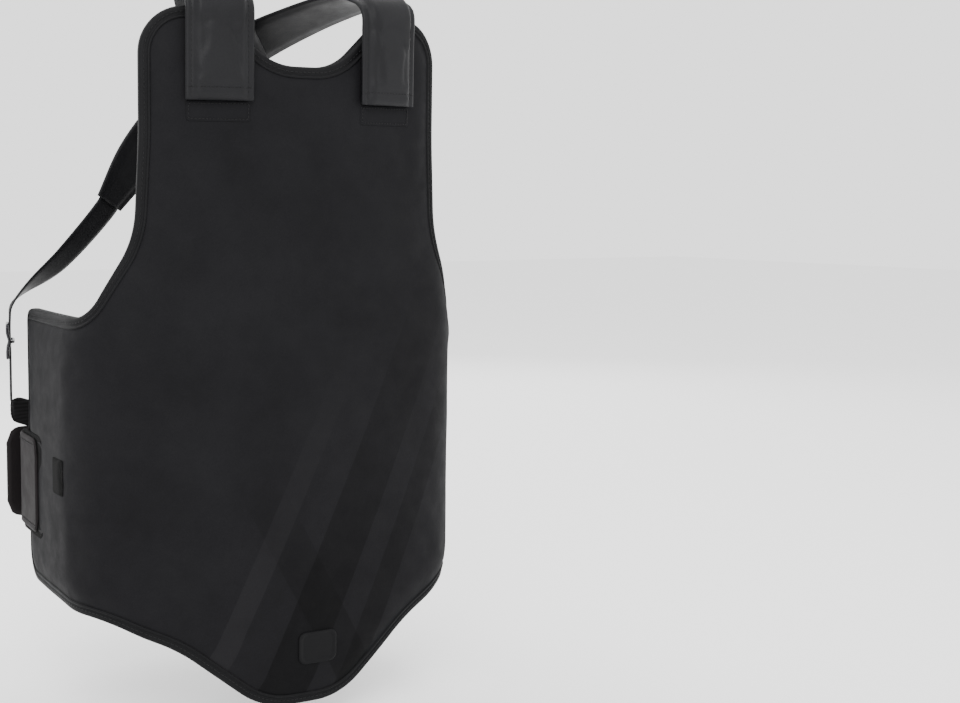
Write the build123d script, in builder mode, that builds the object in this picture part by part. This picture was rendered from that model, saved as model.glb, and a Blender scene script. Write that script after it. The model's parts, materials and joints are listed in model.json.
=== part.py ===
from build123d import *
import os
from math import asin, cos, degrees, radians, sin, sqrt

# Coach's body protector: a curved padded panel for chest and belly, two crossed shoulder
# straps and a hook-and-loop belt. Units are millimetres. +Z is up, the front faces -Y, and the
# wearer's left is +X. The origin is on the wearer's midline in the torso space, at the height
# of the belt's middle.

# ---- driving dimensions -------------------------------------------------------------------
BOTTOM_Z = -155.0  # lowest point of the panel
PANEL_HEIGHT = 612.0  # lowest point to the top of the shoulder lobes
PANEL_THICKNESS = 22.0
COVER = 1.5  # synthetic leather face
IMPACT_FOAM = 10.5
LINING = 1.5
BINDING_WIDTH = 9.0

FRONT_Y = -116.0  # outer face of the panel at the front centre
CHEST_RADIUS = 500.0
CHEST_HALF_WIDTH = 146.0  # where the chest arc meets the side arc
SIDE_RADIUS = 70.0
WING_LENGTH = 122.0  # from the widest point to the wing's end
RIGHT_WING_RADIUS = 1500.0
LEFT_WING_RADIUS = 172.0  # this wing is pulled in by the belt

WING_BOTTOM = 92.0  # heights above the lowest point
WING_TOP = 350.0
NECK_LOW = 565.0
WING_STEP = 1.0  # the wings stand this much inside the front's outline

STRAP_WIDTH = 60.0
STRAP_SKIN = 1.2
STRAP_FOAM = 6.0
NARROW_WIDTH = 26.0
NARROW_THICKNESS = 1.8
WEBBING_WIDTH = 25.0

BELT_WIDTH = 88.0
BELT_UNDER = 3.5
BELT_OUTER = 4.0
RING_WIRE = 4.0
FOLD_RADIUS = 3.2  # inside of the belt's fold round the ring
BELT_LOW = 134.0  # mid-height of the belt at the ring
BELT_HIGH = 188.0  # mid-height of the belt at the right wing
CLEAR = 0.4  # between bodies that move past each other

# ---- worked out from them -----------------------------------------------------------------
CHEST_CENTRE = (0, FRONT_Y + CHEST_RADIUS)
CHEST_ANGLE = degrees(asin(CHEST_HALF_WIDTH / CHEST_RADIUS))
_reach = (CHEST_RADIUS - SIDE_RADIUS) / CHEST_RADIUS
SIDE_X = CHEST_HALF_WIDTH * _reach
SIDE_Y = CHEST_CENTRE[1] - (CHEST_RADIUS - SIDE_RADIUS) * cos(radians(CHEST_ANGLE))
WIDEST_X = SIDE_X + SIDE_RADIUS
TOP_OF_PRISM = 300.0


def arc_from(centre, radius, start, end):
    """An arc about centre from one angle to another, in degrees."""
    return CenterArc(centre, radius, start, end - start)


def wing_end_angle(radius, shorter):
    return degrees((WING_LENGTH - shorter) / radius)


def plan_arcs(depth, shorter):
    """The panel's plan curve, this deep under its outer face, from right wing to left."""
    right = (-WIDEST_X + RIGHT_WING_RADIUS, SIDE_Y)
    left = (WIDEST_X - LEFT_WING_RADIUS, SIDE_Y)
    right_end = 180 - wing_end_angle(RIGHT_WING_RADIUS, shorter)
    left_end = wing_end_angle(LEFT_WING_RADIUS, shorter)
    arc_from(right, RIGHT_WING_RADIUS - depth, right_end, 180)
    arc_from((-SIDE_X, SIDE_Y), SIDE_RADIUS - depth, 180, 270 - CHEST_ANGLE)
    arc_from(CHEST_CENTRE, CHEST_RADIUS - depth, 270 - CHEST_ANGLE, 270 + CHEST_ANGLE)
    arc_from((SIDE_X, SIDE_Y), SIDE_RADIUS - depth, -90 + CHEST_ANGLE, 0)
    arc_from(left, LEFT_WING_RADIUS - depth, 0, left_end)


def wing_point(side, depth, shorter=0.0):
    """A point of the wing, this deep under its outer face and this far before its end."""
    radius = LEFT_WING_RADIUS if side > 0 else RIGHT_WING_RADIUS
    angle = radians(wing_end_angle(radius, shorter))
    middle = side * (WIDEST_X - radius)
    return (middle + side * (radius - depth) * cos(angle), SIDE_Y + (radius - depth) * sin(angle))


def outline(inset):
    """The front outline of the panel, drawn in the XZ plane; the wings run out past it."""
    beyond = WIDEST_X + 40
    corners = [
        (0, 0),
        (33, 0),
        (133, 68),
        (181, WING_BOTTOM),
        (beyond, WING_BOTTOM),
        (beyond, WING_TOP),
        (172, WING_TOP),
        (149, 425),
        (149, PANEL_HEIGHT),
        (78, PANEL_HEIGHT),
        (26, NECK_LOW),
        (0, NECK_LOW),
    ]
    radii = [70, 130, 60, 1, 1, 30, 60, 36, 22, 50]
    places = [(x, BOTTOM_Z + h) for x, h in corners]
    with BuildLine() as edge:
        FilletPolyline(*places, radius=radii)
        mirror(about=Plane.YZ)
    make_face(edge.edges())
    if inset:
        offset(amount=-inset, mode=Mode.REPLACE)


def panel_layer(outer, inner, inset):
    """A layer of the panel between two depths, drawn in from its edge."""
    with BuildPart() as layer:
        with BuildSketch(Plane.XY.offset(BOTTOM_Z - 1)):
            with BuildLine():
                plan_arcs(outer, inset)
                plan_arcs(inner, inset)
                for side in (-1, 1):
                    Line(wing_point(side, outer, inset), wing_point(side, inner, inset))
            make_face()
        extrude(amount=PANEL_HEIGHT + 2)
        with BuildSketch(Plane.XZ):
            outline(inset)
        extrude(amount=TOP_OF_PRISM, both=True, mode=Mode.INTERSECT)
        wing_middle = (WING_TOP + WING_BOTTOM) / 2
        reach = (WING_TOP - WING_BOTTOM) / 2 - inset + 300 - WING_STEP
        for way in (-1, 1):
            with Locations((0, SIDE_Y + 190, BOTTOM_Z + wing_middle + way * reach)):
                Box(600, 400, 600, mode=Mode.SUBTRACT)
    return layer


def full_panel(inset):
    return panel_layer(0, PANEL_THICKNESS, inset).part


# ---- the panel: cover, impact foam, comfort foam, lining and edge binding -----------------
DART_TOP = (165.0, 362.0)  # |x| and height of the dart seam's ends
DART_BOTTOM = (128.0, 60.0)
DART_REAR = SIDE_Y  # the centre pieces reach no further back than the widest point
depths = {
    "impact_foam": (COVER, COVER + IMPACT_FOAM),
    "comfort_foam": (COVER + IMPACT_FOAM, PANEL_THICKNESS - LINING),
    "lining": (PANEL_THICKNESS - LINING, PANEL_THICKNESS),
}
lean = (DART_TOP[0] - DART_BOTTOM[0]) / (DART_TOP[1] - DART_BOTTOM[1])
dart_foot = DART_BOTTOM[0] - lean * (DART_BOTTOM[1] + 20)
dart_head = DART_TOP[0] + lean * (PANEL_HEIGHT + 20 - DART_TOP[1])

with BuildPart(mode=Mode.PRIVATE) as centre_block:
    with BuildSketch(Plane.XZ.offset(-DART_REAR)):
        with BuildLine():
            Polyline(
                (-dart_foot, BOTTOM_Z - 20),
                (dart_foot, BOTTOM_Z - 20),
                (dart_head, BOTTOM_Z + PANEL_HEIGHT + 20),
                (-dart_head, BOTTOM_Z + PANEL_HEIGHT + 20),
                close=True,
            )
        make_face()
    extrude(amount=200)


def keep_side(side):
    """A block that holds everything on one side of the midline."""
    return Pos(side * 200, 0, 100) * Box(400, 600, 900)


pieces = {"front_cover": panel_layer(0, COVER, BINDING_WIDTH).part}
for layer, (outer, inner) in depths.items():
    whole = panel_layer(outer, inner, BINDING_WIDTH).part
    pieces[layer + "_centre"] = whole & centre_block.part
    pieces[layer + "_wing_right"] = (whole - centre_block.part) & keep_side(-1)
    pieces[layer + "_wing_left"] = (whole - centre_block.part) & keep_side(1)

with BuildPart() as edge_binding:
    add(full_panel(0))
    add(panel_layer(-1, PANEL_THICKNESS + 1, BINDING_WIDTH).part, mode=Mode.SUBTRACT)
pieces["edge_binding"] = edge_binding.part

# ---- badge, low on the belly ---------------------------------------------------------------
BADGE_X = 12.0
BADGE_Z = BOTTOM_Z + 52
BADGE_SIZE = (40.0, 30.0)
BADGE_PROUD = 1.6


def chest_patch(x, z, size, proud, corner):
    """A rounded rectangle that lies on the panel's curved face."""
    middle = 270 + degrees(asin(x / CHEST_RADIUS))
    half = degrees(size[0] / 2 / CHEST_RADIUS) + 0.3
    turns = (middle - half, middle + half)
    with BuildPart() as patch:
        with BuildSketch(Plane.XY.offset(z - size[1] / 2)):
            with BuildLine() as edge:
                for level in (0, proud):
                    arc_from(CHEST_CENTRE, CHEST_RADIUS + level, *turns)
                for turn in turns:
                    spoke = Vector(1, 0).rotate(Axis.Z, turn)
                    hub = Vector(*CHEST_CENTRE)
                    Line(hub + spoke * CHEST_RADIUS, hub + spoke * (CHEST_RADIUS + proud))
            make_face(edge.edges())
        extrude(amount=size[1])
        with BuildSketch(Plane.XZ):
            with Locations((x, z)):
                RectangleRounded(*size, radius=corner)
        extrude(amount=TOP_OF_PRISM, both=True, mode=Mode.INTERSECT)
    return patch.part


pieces["badge"] = chest_patch(BADGE_X, BADGE_Z, BADGE_SIZE, BADGE_PROUD, 7)


# ---- straps --------------------------------------------------------------------------------
def tangents(points):
    """The direction of travel at each point of a path."""
    last = len(points) - 1
    return [
        (points[min(i + 1, last)] - points[max(i - 1, 0)]).normalized() for i in range(last + 1)
    ]


def ribbon(stations, low, high, narrower=0.0):
    """A flat strip through stations of (point, outward normal, width), from low to high along
    the normal."""
    points = [Vector(*point) for point, _, _ in stations]
    with BuildPart() as strip:
        for point, along, (_, outward, width) in zip(points, tangents(points), stations):
            across = Vector(*outward).cross(along).normalized()
            with BuildSketch(Plane(origin=point, x_dir=across, z_dir=along)):
                with Locations((0, (low + high) / 2)):
                    Rectangle(width - narrower, high - low)
        loft(ruled=True)
    return strip.part


def height(h):
    return BOTTOM_Z + h


def mirrored(stations):
    return [((-x, y, z), (-nx, ny, nz), w) for (x, y, z), (nx, ny, nz), w in stations]


STRAP_X = 82.0
front_y = CHEST_CENTRE[1] - sqrt(CHEST_RADIUS**2 - STRAP_X**2)
facing = (STRAP_X / CHEST_RADIUS, -0.985, 0)  # the panel's face where the straps are sewn on
over_shoulder = [
    ((STRAP_X, front_y - 1.2, height(534)), facing, STRAP_WIDTH),
    ((STRAP_X, front_y - 1.2, height(594)), facing, STRAP_WIDTH),
    ((STRAP_X, front_y - 1.4, height(611)), (0.14, -0.95, 0.3), STRAP_WIDTH),
    ((81.6, front_y + 3, height(619)), (0.05, -0.6, 0.8), STRAP_WIDTH),
    ((79.5, front_y + 16, height(624)), (0, -0.15, 1), STRAP_WIDTH),
    ((72, -68, height(626)), (0.05, 0.15, 1), STRAP_WIDTH),
]
left_strap = over_shoulder + [
    ((44, -18, height(613)), (0.05, 0.4, 0.9), STRAP_WIDTH),
    ((2, 28, height(585)), (0, 0.65, 0.75), STRAP_WIDTH),
    ((-42, 57, height(537)), (-0.1, 0.8, 0.55), STRAP_WIDTH),
    ((-78, 72, height(491)), (-0.15, 0.9, 0.4), 52),
    ((-106, 80, height(447)), (-0.2, 0.95, 0.3), 32),
]
right_strap = mirrored(over_shoulder) + [
    ((-42, -25, height(603)), (-0.05, 0.4, 0.9), STRAP_WIDTH),
    ((-2, 16, height(572)), (0, 0.65, 0.75), STRAP_WIDTH),
    ((42, 47, height(528)), (0.1, 0.8, 0.55), STRAP_WIDTH),
    ((77, 64, height(485)), (0.15, 0.9, 0.4), 52),
    ((105, 74, height(445)), (0.2, 0.95, 0.3), 32),
]
cover_high = 2 * STRAP_SKIN + STRAP_FOAM
for side, path in (("left", left_strap), ("right", right_strap)):
    pieces["strap_lining_" + side] = ribbon(path, 0, STRAP_SKIN)
    pieces["strap_foam_" + side] = ribbon(path, STRAP_SKIN, STRAP_SKIN + STRAP_FOAM, 4)
    pieces["strap_cover_" + side] = ribbon(path, STRAP_SKIN + STRAP_FOAM, cover_high)

PATCH_SIZE = (56.0, 17.0)
PATCH = 1.0
for side, x in (("left", STRAP_X), ("right", -STRAP_X)):
    below = height(533.5) - PATCH_SIZE[1] / 2
    pieces["strap_base_patch_" + side] = chest_patch(x, below, PATCH_SIZE, PATCH, 2)

# ---- narrow straps, slide buckles and anchor webbing ----------------------------------------
SLIDE_LENGTH = 34.0  # along the strap
SLIDE_WIDTH = 36.0
SLIDE_BAR = 3.0
narrow_paths = {
    "right": [
        ((-107.9, 83.5, height(445.6)), (-0.2, 0.95, 0.3), NARROW_WIDTH),
        ((-150, 93, height(395)), (-0.5, 0.85, 0.2), NARROW_WIDTH),
        ((-195, 108, height(352)), (-0.95, 0.3, 0.0), NARROW_WIDTH),
        ((-197, 109, height(338)), (-0.95, 0.3, 0.0), NARROW_WIDTH),
        ((-197, 109, height(262)), (-0.95, 0.3, 0.0), NARROW_WIDTH),
    ],
    "left": [
        ((107.0, 77.5, height(443.6)), (0.2, 0.95, 0.3), NARROW_WIDTH),
        ((145, 76, height(400)), (0.5, 0.85, 0.25), NARROW_WIDTH),
        ((180, 68, height(362)), (0.85, 0.5, 0.15), NARROW_WIDTH),
        ((185, 64, height(346)), (0.87, 0.5, 0.0), NARROW_WIDTH),
        ((185, 64, height(270)), (0.87, 0.5, 0.0), NARROW_WIDTH),
    ],
}
slide_centre = {"right": height(318), "left": height(326)}


def slide_buckle(path, middle):
    """A three-bar slide threaded on the straight end of a narrow strap: the end bars lie
    outside the strap and the centre bar inside it."""
    (x, y, _), outward, _ = path[-1]
    normal = Vector(*outward).normalized()
    across = normal.cross(Vector(0, 0, -1))
    frame = Plane(origin=(x, y, middle), x_dir=across, z_dir=Vector(0, 0, -1))
    outside = NARROW_THICKNESS + CLEAR + SLIDE_BAR / 2
    inside = -CLEAR - SLIDE_BAR / 2
    rail = (outside - inside) + SLIDE_BAR
    shift = (SLIDE_WIDTH - SLIDE_BAR) / 2
    with BuildPart(frame) as buckle:
        with Locations((-shift, (outside + inside) / 2, 0), (shift, (outside + inside) / 2, 0)):
            Box(SLIDE_BAR, rail, SLIDE_LENGTH)
        for at, level in ((-1, outside), (0, inside), (1, outside)):
            with Locations((0, level, at * (SLIDE_LENGTH - SLIDE_BAR) / 2)):
                Box(SLIDE_WIDTH, SLIDE_BAR, SLIDE_BAR)
    return buckle.part


for side, path in narrow_paths.items():
    pieces["adjuster_strap_" + side] = ribbon(path, 0, NARROW_THICKNESS)
    pieces["slide_buckle_" + side] = slide_buckle(path, slide_centre[side])

webbing_paths = {
    "right": [
        ((-197, 109, height(261.6)), (-0.95, 0.3, 0), WEBBING_WIDTH),
        ((-197, 109, height(256.6)), (-0.95, 0.3, 0), WEBBING_WIDTH),
        ((-194.5, 110.4, height(252.6)), (-0.85, 0.5, 0), WEBBING_WIDTH),
        ((-186, 112.5, height(249)), (-0.6, 0.8, 0), WEBBING_WIDTH),
        ((-170, 113, height(243)), (-0.15, 1, 0), WEBBING_WIDTH),
        ((-156, 112, height(234)), (0, 1, 0), WEBBING_WIDTH),
        ((-148, 110.5, height(220)), (0, 1, 0), WEBBING_WIDTH),
        ((-145, 109.5, height(200)), (0, 1, 0), WEBBING_WIDTH),
        ((-144, 109.5, height(165)), (0, 1, 0), WEBBING_WIDTH),
    ],
    "left": [
        ((185, 64, height(269.6)), (0.87, 0.5, 0), WEBBING_WIDTH),
        ((184.6, 65, height(264)), (0.87, 0.5, 0), WEBBING_WIDTH),
        ((170, 86, height(258)), (0.75, 0.65, 0), WEBBING_WIDTH),
        ((140, 100, height(240)), (0.3, 0.95, 0), WEBBING_WIDTH),
        ((112, 97, height(212)), (0.1, 1, 0), WEBBING_WIDTH),
        ((98, 98, height(182)), (0, 1, 0), WEBBING_WIDTH),
    ],
}
for side, path in webbing_paths.items():
    pieces["anchor_webbing_" + side] = ribbon(path, 0, NARROW_THICKNESS)

# ---- belt ----------------------------------------------------------------------------------
RING_X = (96.0, 118.0)  # far bar, in the belt's fold, and near bar, in the anchor's loop
WRAP_RADIUS = 24.0  # the belt's bend round the right wing's end
TIP_X = -198.0
FOLD_BACK = 16.0  # the peeling end starts this far from the ring's far bar
HOOK_PILE = 2.8
BOW = 5.0  # the belt leaves the bend this many degrees rearward

right_centre = (-WIDEST_X + RIGHT_WING_RADIUS, SIDE_Y)
wing_turn = wing_end_angle(RIGHT_WING_RADIUS, 0)
corner = Vector(*right_centre) + Vector(-(RIGHT_WING_RADIUS - WRAP_RADIUS), 0).rotate(
    Axis.Z, -wing_turn
)
bow_start = corner + Vector(0, WRAP_RADIUS).rotate(Axis.Z, BOW)
bow_radius = (RING_X[0] - bow_start.X) / (2 * sin(radians(BOW)))
bow_centre = bow_start - Vector(0, bow_radius).rotate(Axis.Z, BOW)
bar_y = bow_centre.Y + bow_radius * cos(radians(BOW)) + BELT_UNDER + FOLD_RADIUS
print("ring bar y", bar_y, "bow radius", bow_radius)


def belt_slope(width, low_x=-215.0, high_x=RING_X[0] + 8):
    """The belt's height band, drawn in the XZ plane: level at its root, then falling to the
    ring."""
    half = width / 2
    knee = -150.0
    line = [(low_x, BELT_HIGH), (knee, BELT_HIGH), (60, BELT_LOW + 1), (high_x + 20, BELT_LOW)]
    top = [(x, height(h + half)) for x, h in line]
    base = [(x, height(h - half)) for x, h in reversed(line)]
    with BuildLine() as edge:
        Polyline(*top, *base, close=True)
    make_face(edge.edges())


def bow_angle(x):
    """Where the belt's gentle arc passes x, in degrees about the arc's centre."""
    return 90 - degrees(asin((x - bow_centre.X) / bow_radius))


def belt_strip(low, high, start_x, end_x, width):
    """A layer of the belt along its gentle arc, with ends square to the arc."""
    hub = Vector(bow_centre.X, bow_centre.Y)
    turns = (bow_angle(start_x), bow_angle(end_x))
    with BuildPart() as strip:
        with BuildSketch(Plane.XY.offset(height(20))):
            with BuildLine():
                for level in (low, high):
                    arc_from((hub.X, hub.Y), bow_radius + level, *turns)
                for turn in turns:
                    spoke = Vector(1, 0).rotate(Axis.Z, turn)
                    Line(hub + spoke * (bow_radius + low), hub + spoke * (bow_radius + high))
            make_face()
        extrude(amount=300)
        with BuildSketch(Plane.XZ):
            belt_slope(width)
        extrude(amount=TOP_OF_PRISM, both=True, mode=Mode.INTERSECT)
    return strip.part


def wrap_strip(low, high, before_tip, width):
    """A layer that lies on the right wing and turns its end."""
    start = 180 - wing_end_angle(RIGHT_WING_RADIUS, before_tip)
    with BuildPart() as strip:
        with BuildSketch(Plane.XY.offset(height(20))):
            with BuildLine():
                for level in (low, high):
                    radius = RIGHT_WING_RADIUS + level
                    arc_from(right_centre, radius, start, 180 - wing_turn)
                    radius = WRAP_RADIUS + level
                    arc_from((corner.X, corner.Y), radius, 180 - wing_turn, 90 + BOW)
                first = [
                    Vector(*right_centre) + Vector(RIGHT_WING_RADIUS + level, 0).rotate(Axis.Z, start)
                    for level in (low, high)
                ]
                last = [
                    corner + Vector(0, WRAP_RADIUS + level).rotate(Axis.Z, BOW)
                    for level in (low, high)
                ]
                Line(*first)
                Line(*last)
            make_face()
        extrude(amount=300)
        with BuildSketch(Plane.XZ):
            belt_slope(width)
        extrude(amount=TOP_OF_PRISM, both=True, mode=Mode.INTERSECT)
    return strip.part


wrap_start = 52.0  # before the wing's end
free_low = BELT_UNDER + 2 * FOLD_RADIUS
free_high = free_low + BELT_OUTER
hinge_x = RING_X[0] - FOLD_BACK

with BuildPart() as belt_under_layer:
    add(belt_strip(0.5, BELT_UNDER, bow_start.X, RING_X[0], BELT_WIDTH))
    add(wrap_strip(0.5, BELT_UNDER, wrap_start, BELT_WIDTH))
    with BuildSketch(Plane.XY.offset(height(BELT_LOW - BELT_WIDTH / 2))):
        with Locations((RING_X[0], bar_y)):
            Circle(FOLD_RADIUS + BELT_OUTER)
            Circle(FOLD_RADIUS, mode=Mode.SUBTRACT)
        with Locations((RING_X[0] - 20.3, bar_y)):
            Rectangle(40, 40, mode=Mode.SUBTRACT)
    extrude(amount=BELT_WIDTH)
    add(belt_strip(free_low, free_high, hinge_x + CLEAR / 2, RING_X[0], BELT_WIDTH))
pieces["belt_under_layer"] = belt_under_layer.part

with BuildPart() as belt_free_end:
    add(belt_strip(free_low, free_high, TIP_X, hinge_x - CLEAR / 2, BELT_WIDTH))
    fillet(belt_free_end.faces().sort_by(Axis.X)[0].edges().filter_by(Axis.Y, tolerance=12), 14)
pieces["belt_free_end"] = belt_free_end.part
pieces["loop_panel"] = belt_strip(BELT_UNDER, BELT_UNDER + HOOK_PILE, -150, hinge_x - 25, 70)
pieces["hook_panel"] = belt_strip(free_low - HOOK_PILE, free_low, -165, -60, 66)
pieces["belt_label"] = belt_strip(free_high, free_high + 0.6, -186, -177, 24)
pieces["belt_root_patch"] = wrap_strip(0, 0.5, wrap_start - 4, BELT_WIDTH - 12)

# ---- ring, its anchor and the pad behind them ------------------------------------------------
RING_HEIGHT = 98.0
ring_middle = height(BELT_LOW)
ring_half = (RING_X[1] - RING_X[0]) / 2
ring_plane = Plane(
    origin=(RING_X[0] + ring_half, bar_y, ring_middle), x_dir=(1, 0, 0), z_dir=(0, -1, 0)
)
with BuildPart() as belt_ring:
    with BuildLine(ring_plane) as ring_path:
        FilletPolyline(
            (0, RING_HEIGHT / 2),
            (ring_half, RING_HEIGHT / 2),
            (ring_half, -RING_HEIGHT / 2),
            (0, -RING_HEIGHT / 2),
            radius=4,
        )
    with BuildSketch(Plane(origin=ring_path.line @ 0, z_dir=ring_path.line % 0)):
        Circle(RING_WIRE / 2)
    sweep()
    mirror(about=Plane.YZ.offset(RING_X[0] + ring_half))
pieces["belt_ring"] = belt_ring.part

ANCHOR_LENGTH = 56.0  # on the wing
ANCHOR = 3.5
ANCHOR_HEIGHT = 92.0
LOOP_OUTER = RING_WIRE / 2 + CLEAR + 2.4
left_centre = Vector(WIDEST_X - LEFT_WING_RADIUS, SIDE_Y)
bar = Vector(RING_X[1], bar_y)


def on_left_wing(level, before_tip):
    """A point outside the left wing's outer face, this far before its end."""
    turn = wing_end_angle(LEFT_WING_RADIUS, before_tip)
    return left_centre + Vector(LEFT_WING_RADIUS + level, 0).rotate(Axis.Z, turn)


def left_wing_band(low, high, start, end):
    """A band on the left wing's outer face, drawn in plan."""
    with BuildLine() as edge:
        for level in (low, high):
            arc_from(
                (left_centre.X, left_centre.Y),
                LEFT_WING_RADIUS + level,
                wing_end_angle(LEFT_WING_RADIUS, start),
                wing_end_angle(LEFT_WING_RADIUS, end),
            )
        for place in (start, end):
            Line(on_left_wing(low, place), on_left_wing(high, place))
    make_face(edge.edges())


with BuildPart() as belt_anchor:
    with BuildSketch(Plane.XY.offset(ring_middle - ANCHOR_HEIGHT / 2)):
        left_wing_band(0.5, 0.5 + ANCHOR, ANCHOR_LENGTH, 0)
        sideways = (bar - on_left_wing(0, 0)).rotate(Axis.Z, -90).normalized() * LOOP_OUTER
        with BuildLine() as cheeks:
            Polyline(
                on_left_wing(0.5, 0),
                on_left_wing(0.5 + ANCHOR, 0),
                bar + sideways,
                bar - sideways,
                close=True,
            )
        make_face(cheeks.edges())
        with Locations(bar):
            Circle(LOOP_OUTER)
            Circle(RING_WIRE / 2 + CLEAR, mode=Mode.SUBTRACT)
    extrude(amount=ANCHOR_HEIGHT)
pieces["belt_anchor"] = belt_anchor.part

with BuildPart() as belt_anchor_tab:
    with BuildSketch(Plane.XY.offset(ring_middle - 43)):
        left_wing_band(0, 1.2, ANCHOR_LENGTH + 11, ANCHOR_LENGTH + 0.3)
    extrude(amount=86)
pieces["belt_anchor_tab"] = belt_anchor_tab.part

with BuildPart() as buckle_tab:
    with BuildSketch(Plane.XY.offset(height(222))):
        left_wing_band(0, 1.2, 92, 40)
    extrude(amount=38)
pieces["buckle_tab_left"] = buckle_tab.part

PAD = 7.0
PAD_HEIGHT = 112.0
pad_stations = [(145, 81.5), (132, 95), (106, 108), (72, 112.5)]
with BuildPart() as belt_backing_pad:
    with BuildSketch(Plane.XY.offset(ring_middle - PAD_HEIGHT / 2)):
        with BuildLine() as pad_line:
            Spline(*pad_stations)
        trace(pad_line.edges(), PAD)
    extrude(amount=PAD_HEIGHT)
    with BuildSketch(Plane.XZ):
        with Locations((70 + 150, ring_middle)):
            RectangleRounded(300, PAD_HEIGHT, radius=22)
    extrude(amount=TOP_OF_PRISM, both=True, mode=Mode.INTERSECT)
pieces["belt_backing_pad"] = belt_backing_pad.part

# ---- files -----------------------------------------------------------------------------------
os.makedirs("parts", exist_ok=True)
for name, solid in pieces.items():
    solid.label = name
    export_step(solid, f"parts/{name}.step")
    print(name, len(solid.solids()), round(solid.volume))
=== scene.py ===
import json
from math import atan2, cos, pi, radians, sin, sqrt

import bmesh
import bpy
import numpy as np
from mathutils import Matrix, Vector, noise
from mathutils.geometry import delaunay_2d_cdt

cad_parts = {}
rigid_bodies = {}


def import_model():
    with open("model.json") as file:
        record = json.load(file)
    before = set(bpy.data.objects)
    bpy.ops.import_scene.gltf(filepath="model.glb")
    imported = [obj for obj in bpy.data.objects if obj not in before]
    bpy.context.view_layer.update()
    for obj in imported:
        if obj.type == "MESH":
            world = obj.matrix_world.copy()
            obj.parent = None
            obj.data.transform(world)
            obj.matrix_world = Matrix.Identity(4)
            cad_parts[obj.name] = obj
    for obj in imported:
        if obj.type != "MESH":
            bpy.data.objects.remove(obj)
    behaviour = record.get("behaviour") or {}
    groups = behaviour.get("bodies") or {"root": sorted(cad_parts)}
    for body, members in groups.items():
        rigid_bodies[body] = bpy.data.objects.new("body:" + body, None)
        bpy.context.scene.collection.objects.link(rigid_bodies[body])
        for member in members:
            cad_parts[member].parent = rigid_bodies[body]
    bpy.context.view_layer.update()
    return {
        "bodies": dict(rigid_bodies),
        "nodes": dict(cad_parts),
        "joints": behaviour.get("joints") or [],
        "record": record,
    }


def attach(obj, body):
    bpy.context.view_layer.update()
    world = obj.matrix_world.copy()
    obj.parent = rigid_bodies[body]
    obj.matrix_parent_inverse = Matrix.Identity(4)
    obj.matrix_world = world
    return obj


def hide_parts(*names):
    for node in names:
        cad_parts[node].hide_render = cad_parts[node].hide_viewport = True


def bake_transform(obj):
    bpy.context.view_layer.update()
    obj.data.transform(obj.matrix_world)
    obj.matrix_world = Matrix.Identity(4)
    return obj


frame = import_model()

# Lengths below are in millimetres in the CAD frame; mesh_piece() writes them in metres.
MM = 0.001
BOTTOM_Z = -155.0

# ---- the panel's plan curve, as in the CAD model ------------------------------------------
CHEST_R, SIDE_R, FRONT_Y = 500.0, 70.0, -116.0
CHEST_HALF = 146.0
CHEST_TURN = np.arcsin(CHEST_HALF / CHEST_R)
SIDE_X = CHEST_HALF * (CHEST_R - SIDE_R) / CHEST_R
SIDE_Y = FRONT_Y + CHEST_R - (CHEST_R - SIDE_R) * np.cos(CHEST_TURN)
WIDEST = SIDE_X + SIDE_R
WING_R = {-1: 1500.0, 1: 172.0}
WING = 122.0
CHEST_S = CHEST_R * CHEST_TURN
SIDE_S = CHEST_S + SIDE_R * (pi / 2 - CHEST_TURN)
END_S = SIDE_S + WING


def plan(s):
    """x, y and the outward normal on the panel's outer face, s along it from the midline."""
    s = np.asarray(s, float)
    side = np.where(s < 0, -1.0, 1.0)
    a = np.abs(s)
    chest = a / CHEST_R
    turn = CHEST_TURN + (a - CHEST_S) / SIDE_R
    radius = np.where(side < 0, WING_R[-1], WING_R[1])
    wing = (a - SIDE_S) / radius
    on_chest, on_side = a <= CHEST_S, a <= SIDE_S
    nx = np.where(on_chest, np.sin(chest), np.where(on_side, np.sin(turn), np.cos(wing)))
    ny = np.where(on_chest, -np.cos(chest), np.where(on_side, -np.cos(turn), np.sin(wing)))
    beyond_x = np.where(on_side, SIDE_X + SIDE_R * nx, WIDEST - radius + radius * nx)
    beyond_y = SIDE_Y + np.where(on_side, SIDE_R, radius) * ny
    x = np.where(on_chest, CHEST_R * nx, beyond_x)
    y = np.where(on_chest, FRONT_Y + CHEST_R + CHEST_R * ny, beyond_y)
    return side * x, y, side * nx, ny


def on_panel(s, z, depth):
    """Points this deep under the panel's outer face."""
    x, y, nx, ny = plan(s)
    return np.stack([x - nx * depth, y - ny * depth, np.asarray(z, float) + 0 * x], axis=-1)


def panel_normal(s):
    _, _, nx, ny = plan(s)
    return np.stack([nx, ny, 0 * nx], axis=-1)


# ---- small geometry tools ------------------------------------------------------------------
def unit(v):
    v = np.asarray(v, float)
    return v / np.maximum(np.linalg.norm(v, axis=-1, keepdims=True), 1e-9)


def mesh_piece(name, points, faces, material, body="root"):
    """A mesh piece from points in millimetres."""
    mesh = bpy.data.meshes.new(name)
    mesh.from_pydata((np.asarray(points, float) * MM).tolist(), [], [list(f) for f in faces])
    mesh.validate()
    mesh.materials.append(material)
    mesh.polygons.foreach_set("use_smooth", [True] * len(mesh.polygons))
    piece = bpy.data.objects.new(name, mesh)
    bpy.context.scene.collection.objects.link(piece)
    if body:
        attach(piece, body)
    return piece


def skin_faces(rows, size, closed=False, caps=False):
    """Faces over rows of rings of points: closed joins the last row to the first, caps shuts
    both ends."""
    faces = []
    for i in range(rows if closed else rows - 1):
        a, b = i * size, (i + 1) % rows * size
        for k in range(size):
            m = (k + 1) % size
            faces.append((a + k, a + m, b + m, b + k))
    if caps:
        faces.append(tuple(range(size))[::-1])
        faces.append(tuple((rows - 1) * size + k for k in range(size)))
    return faces


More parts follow.
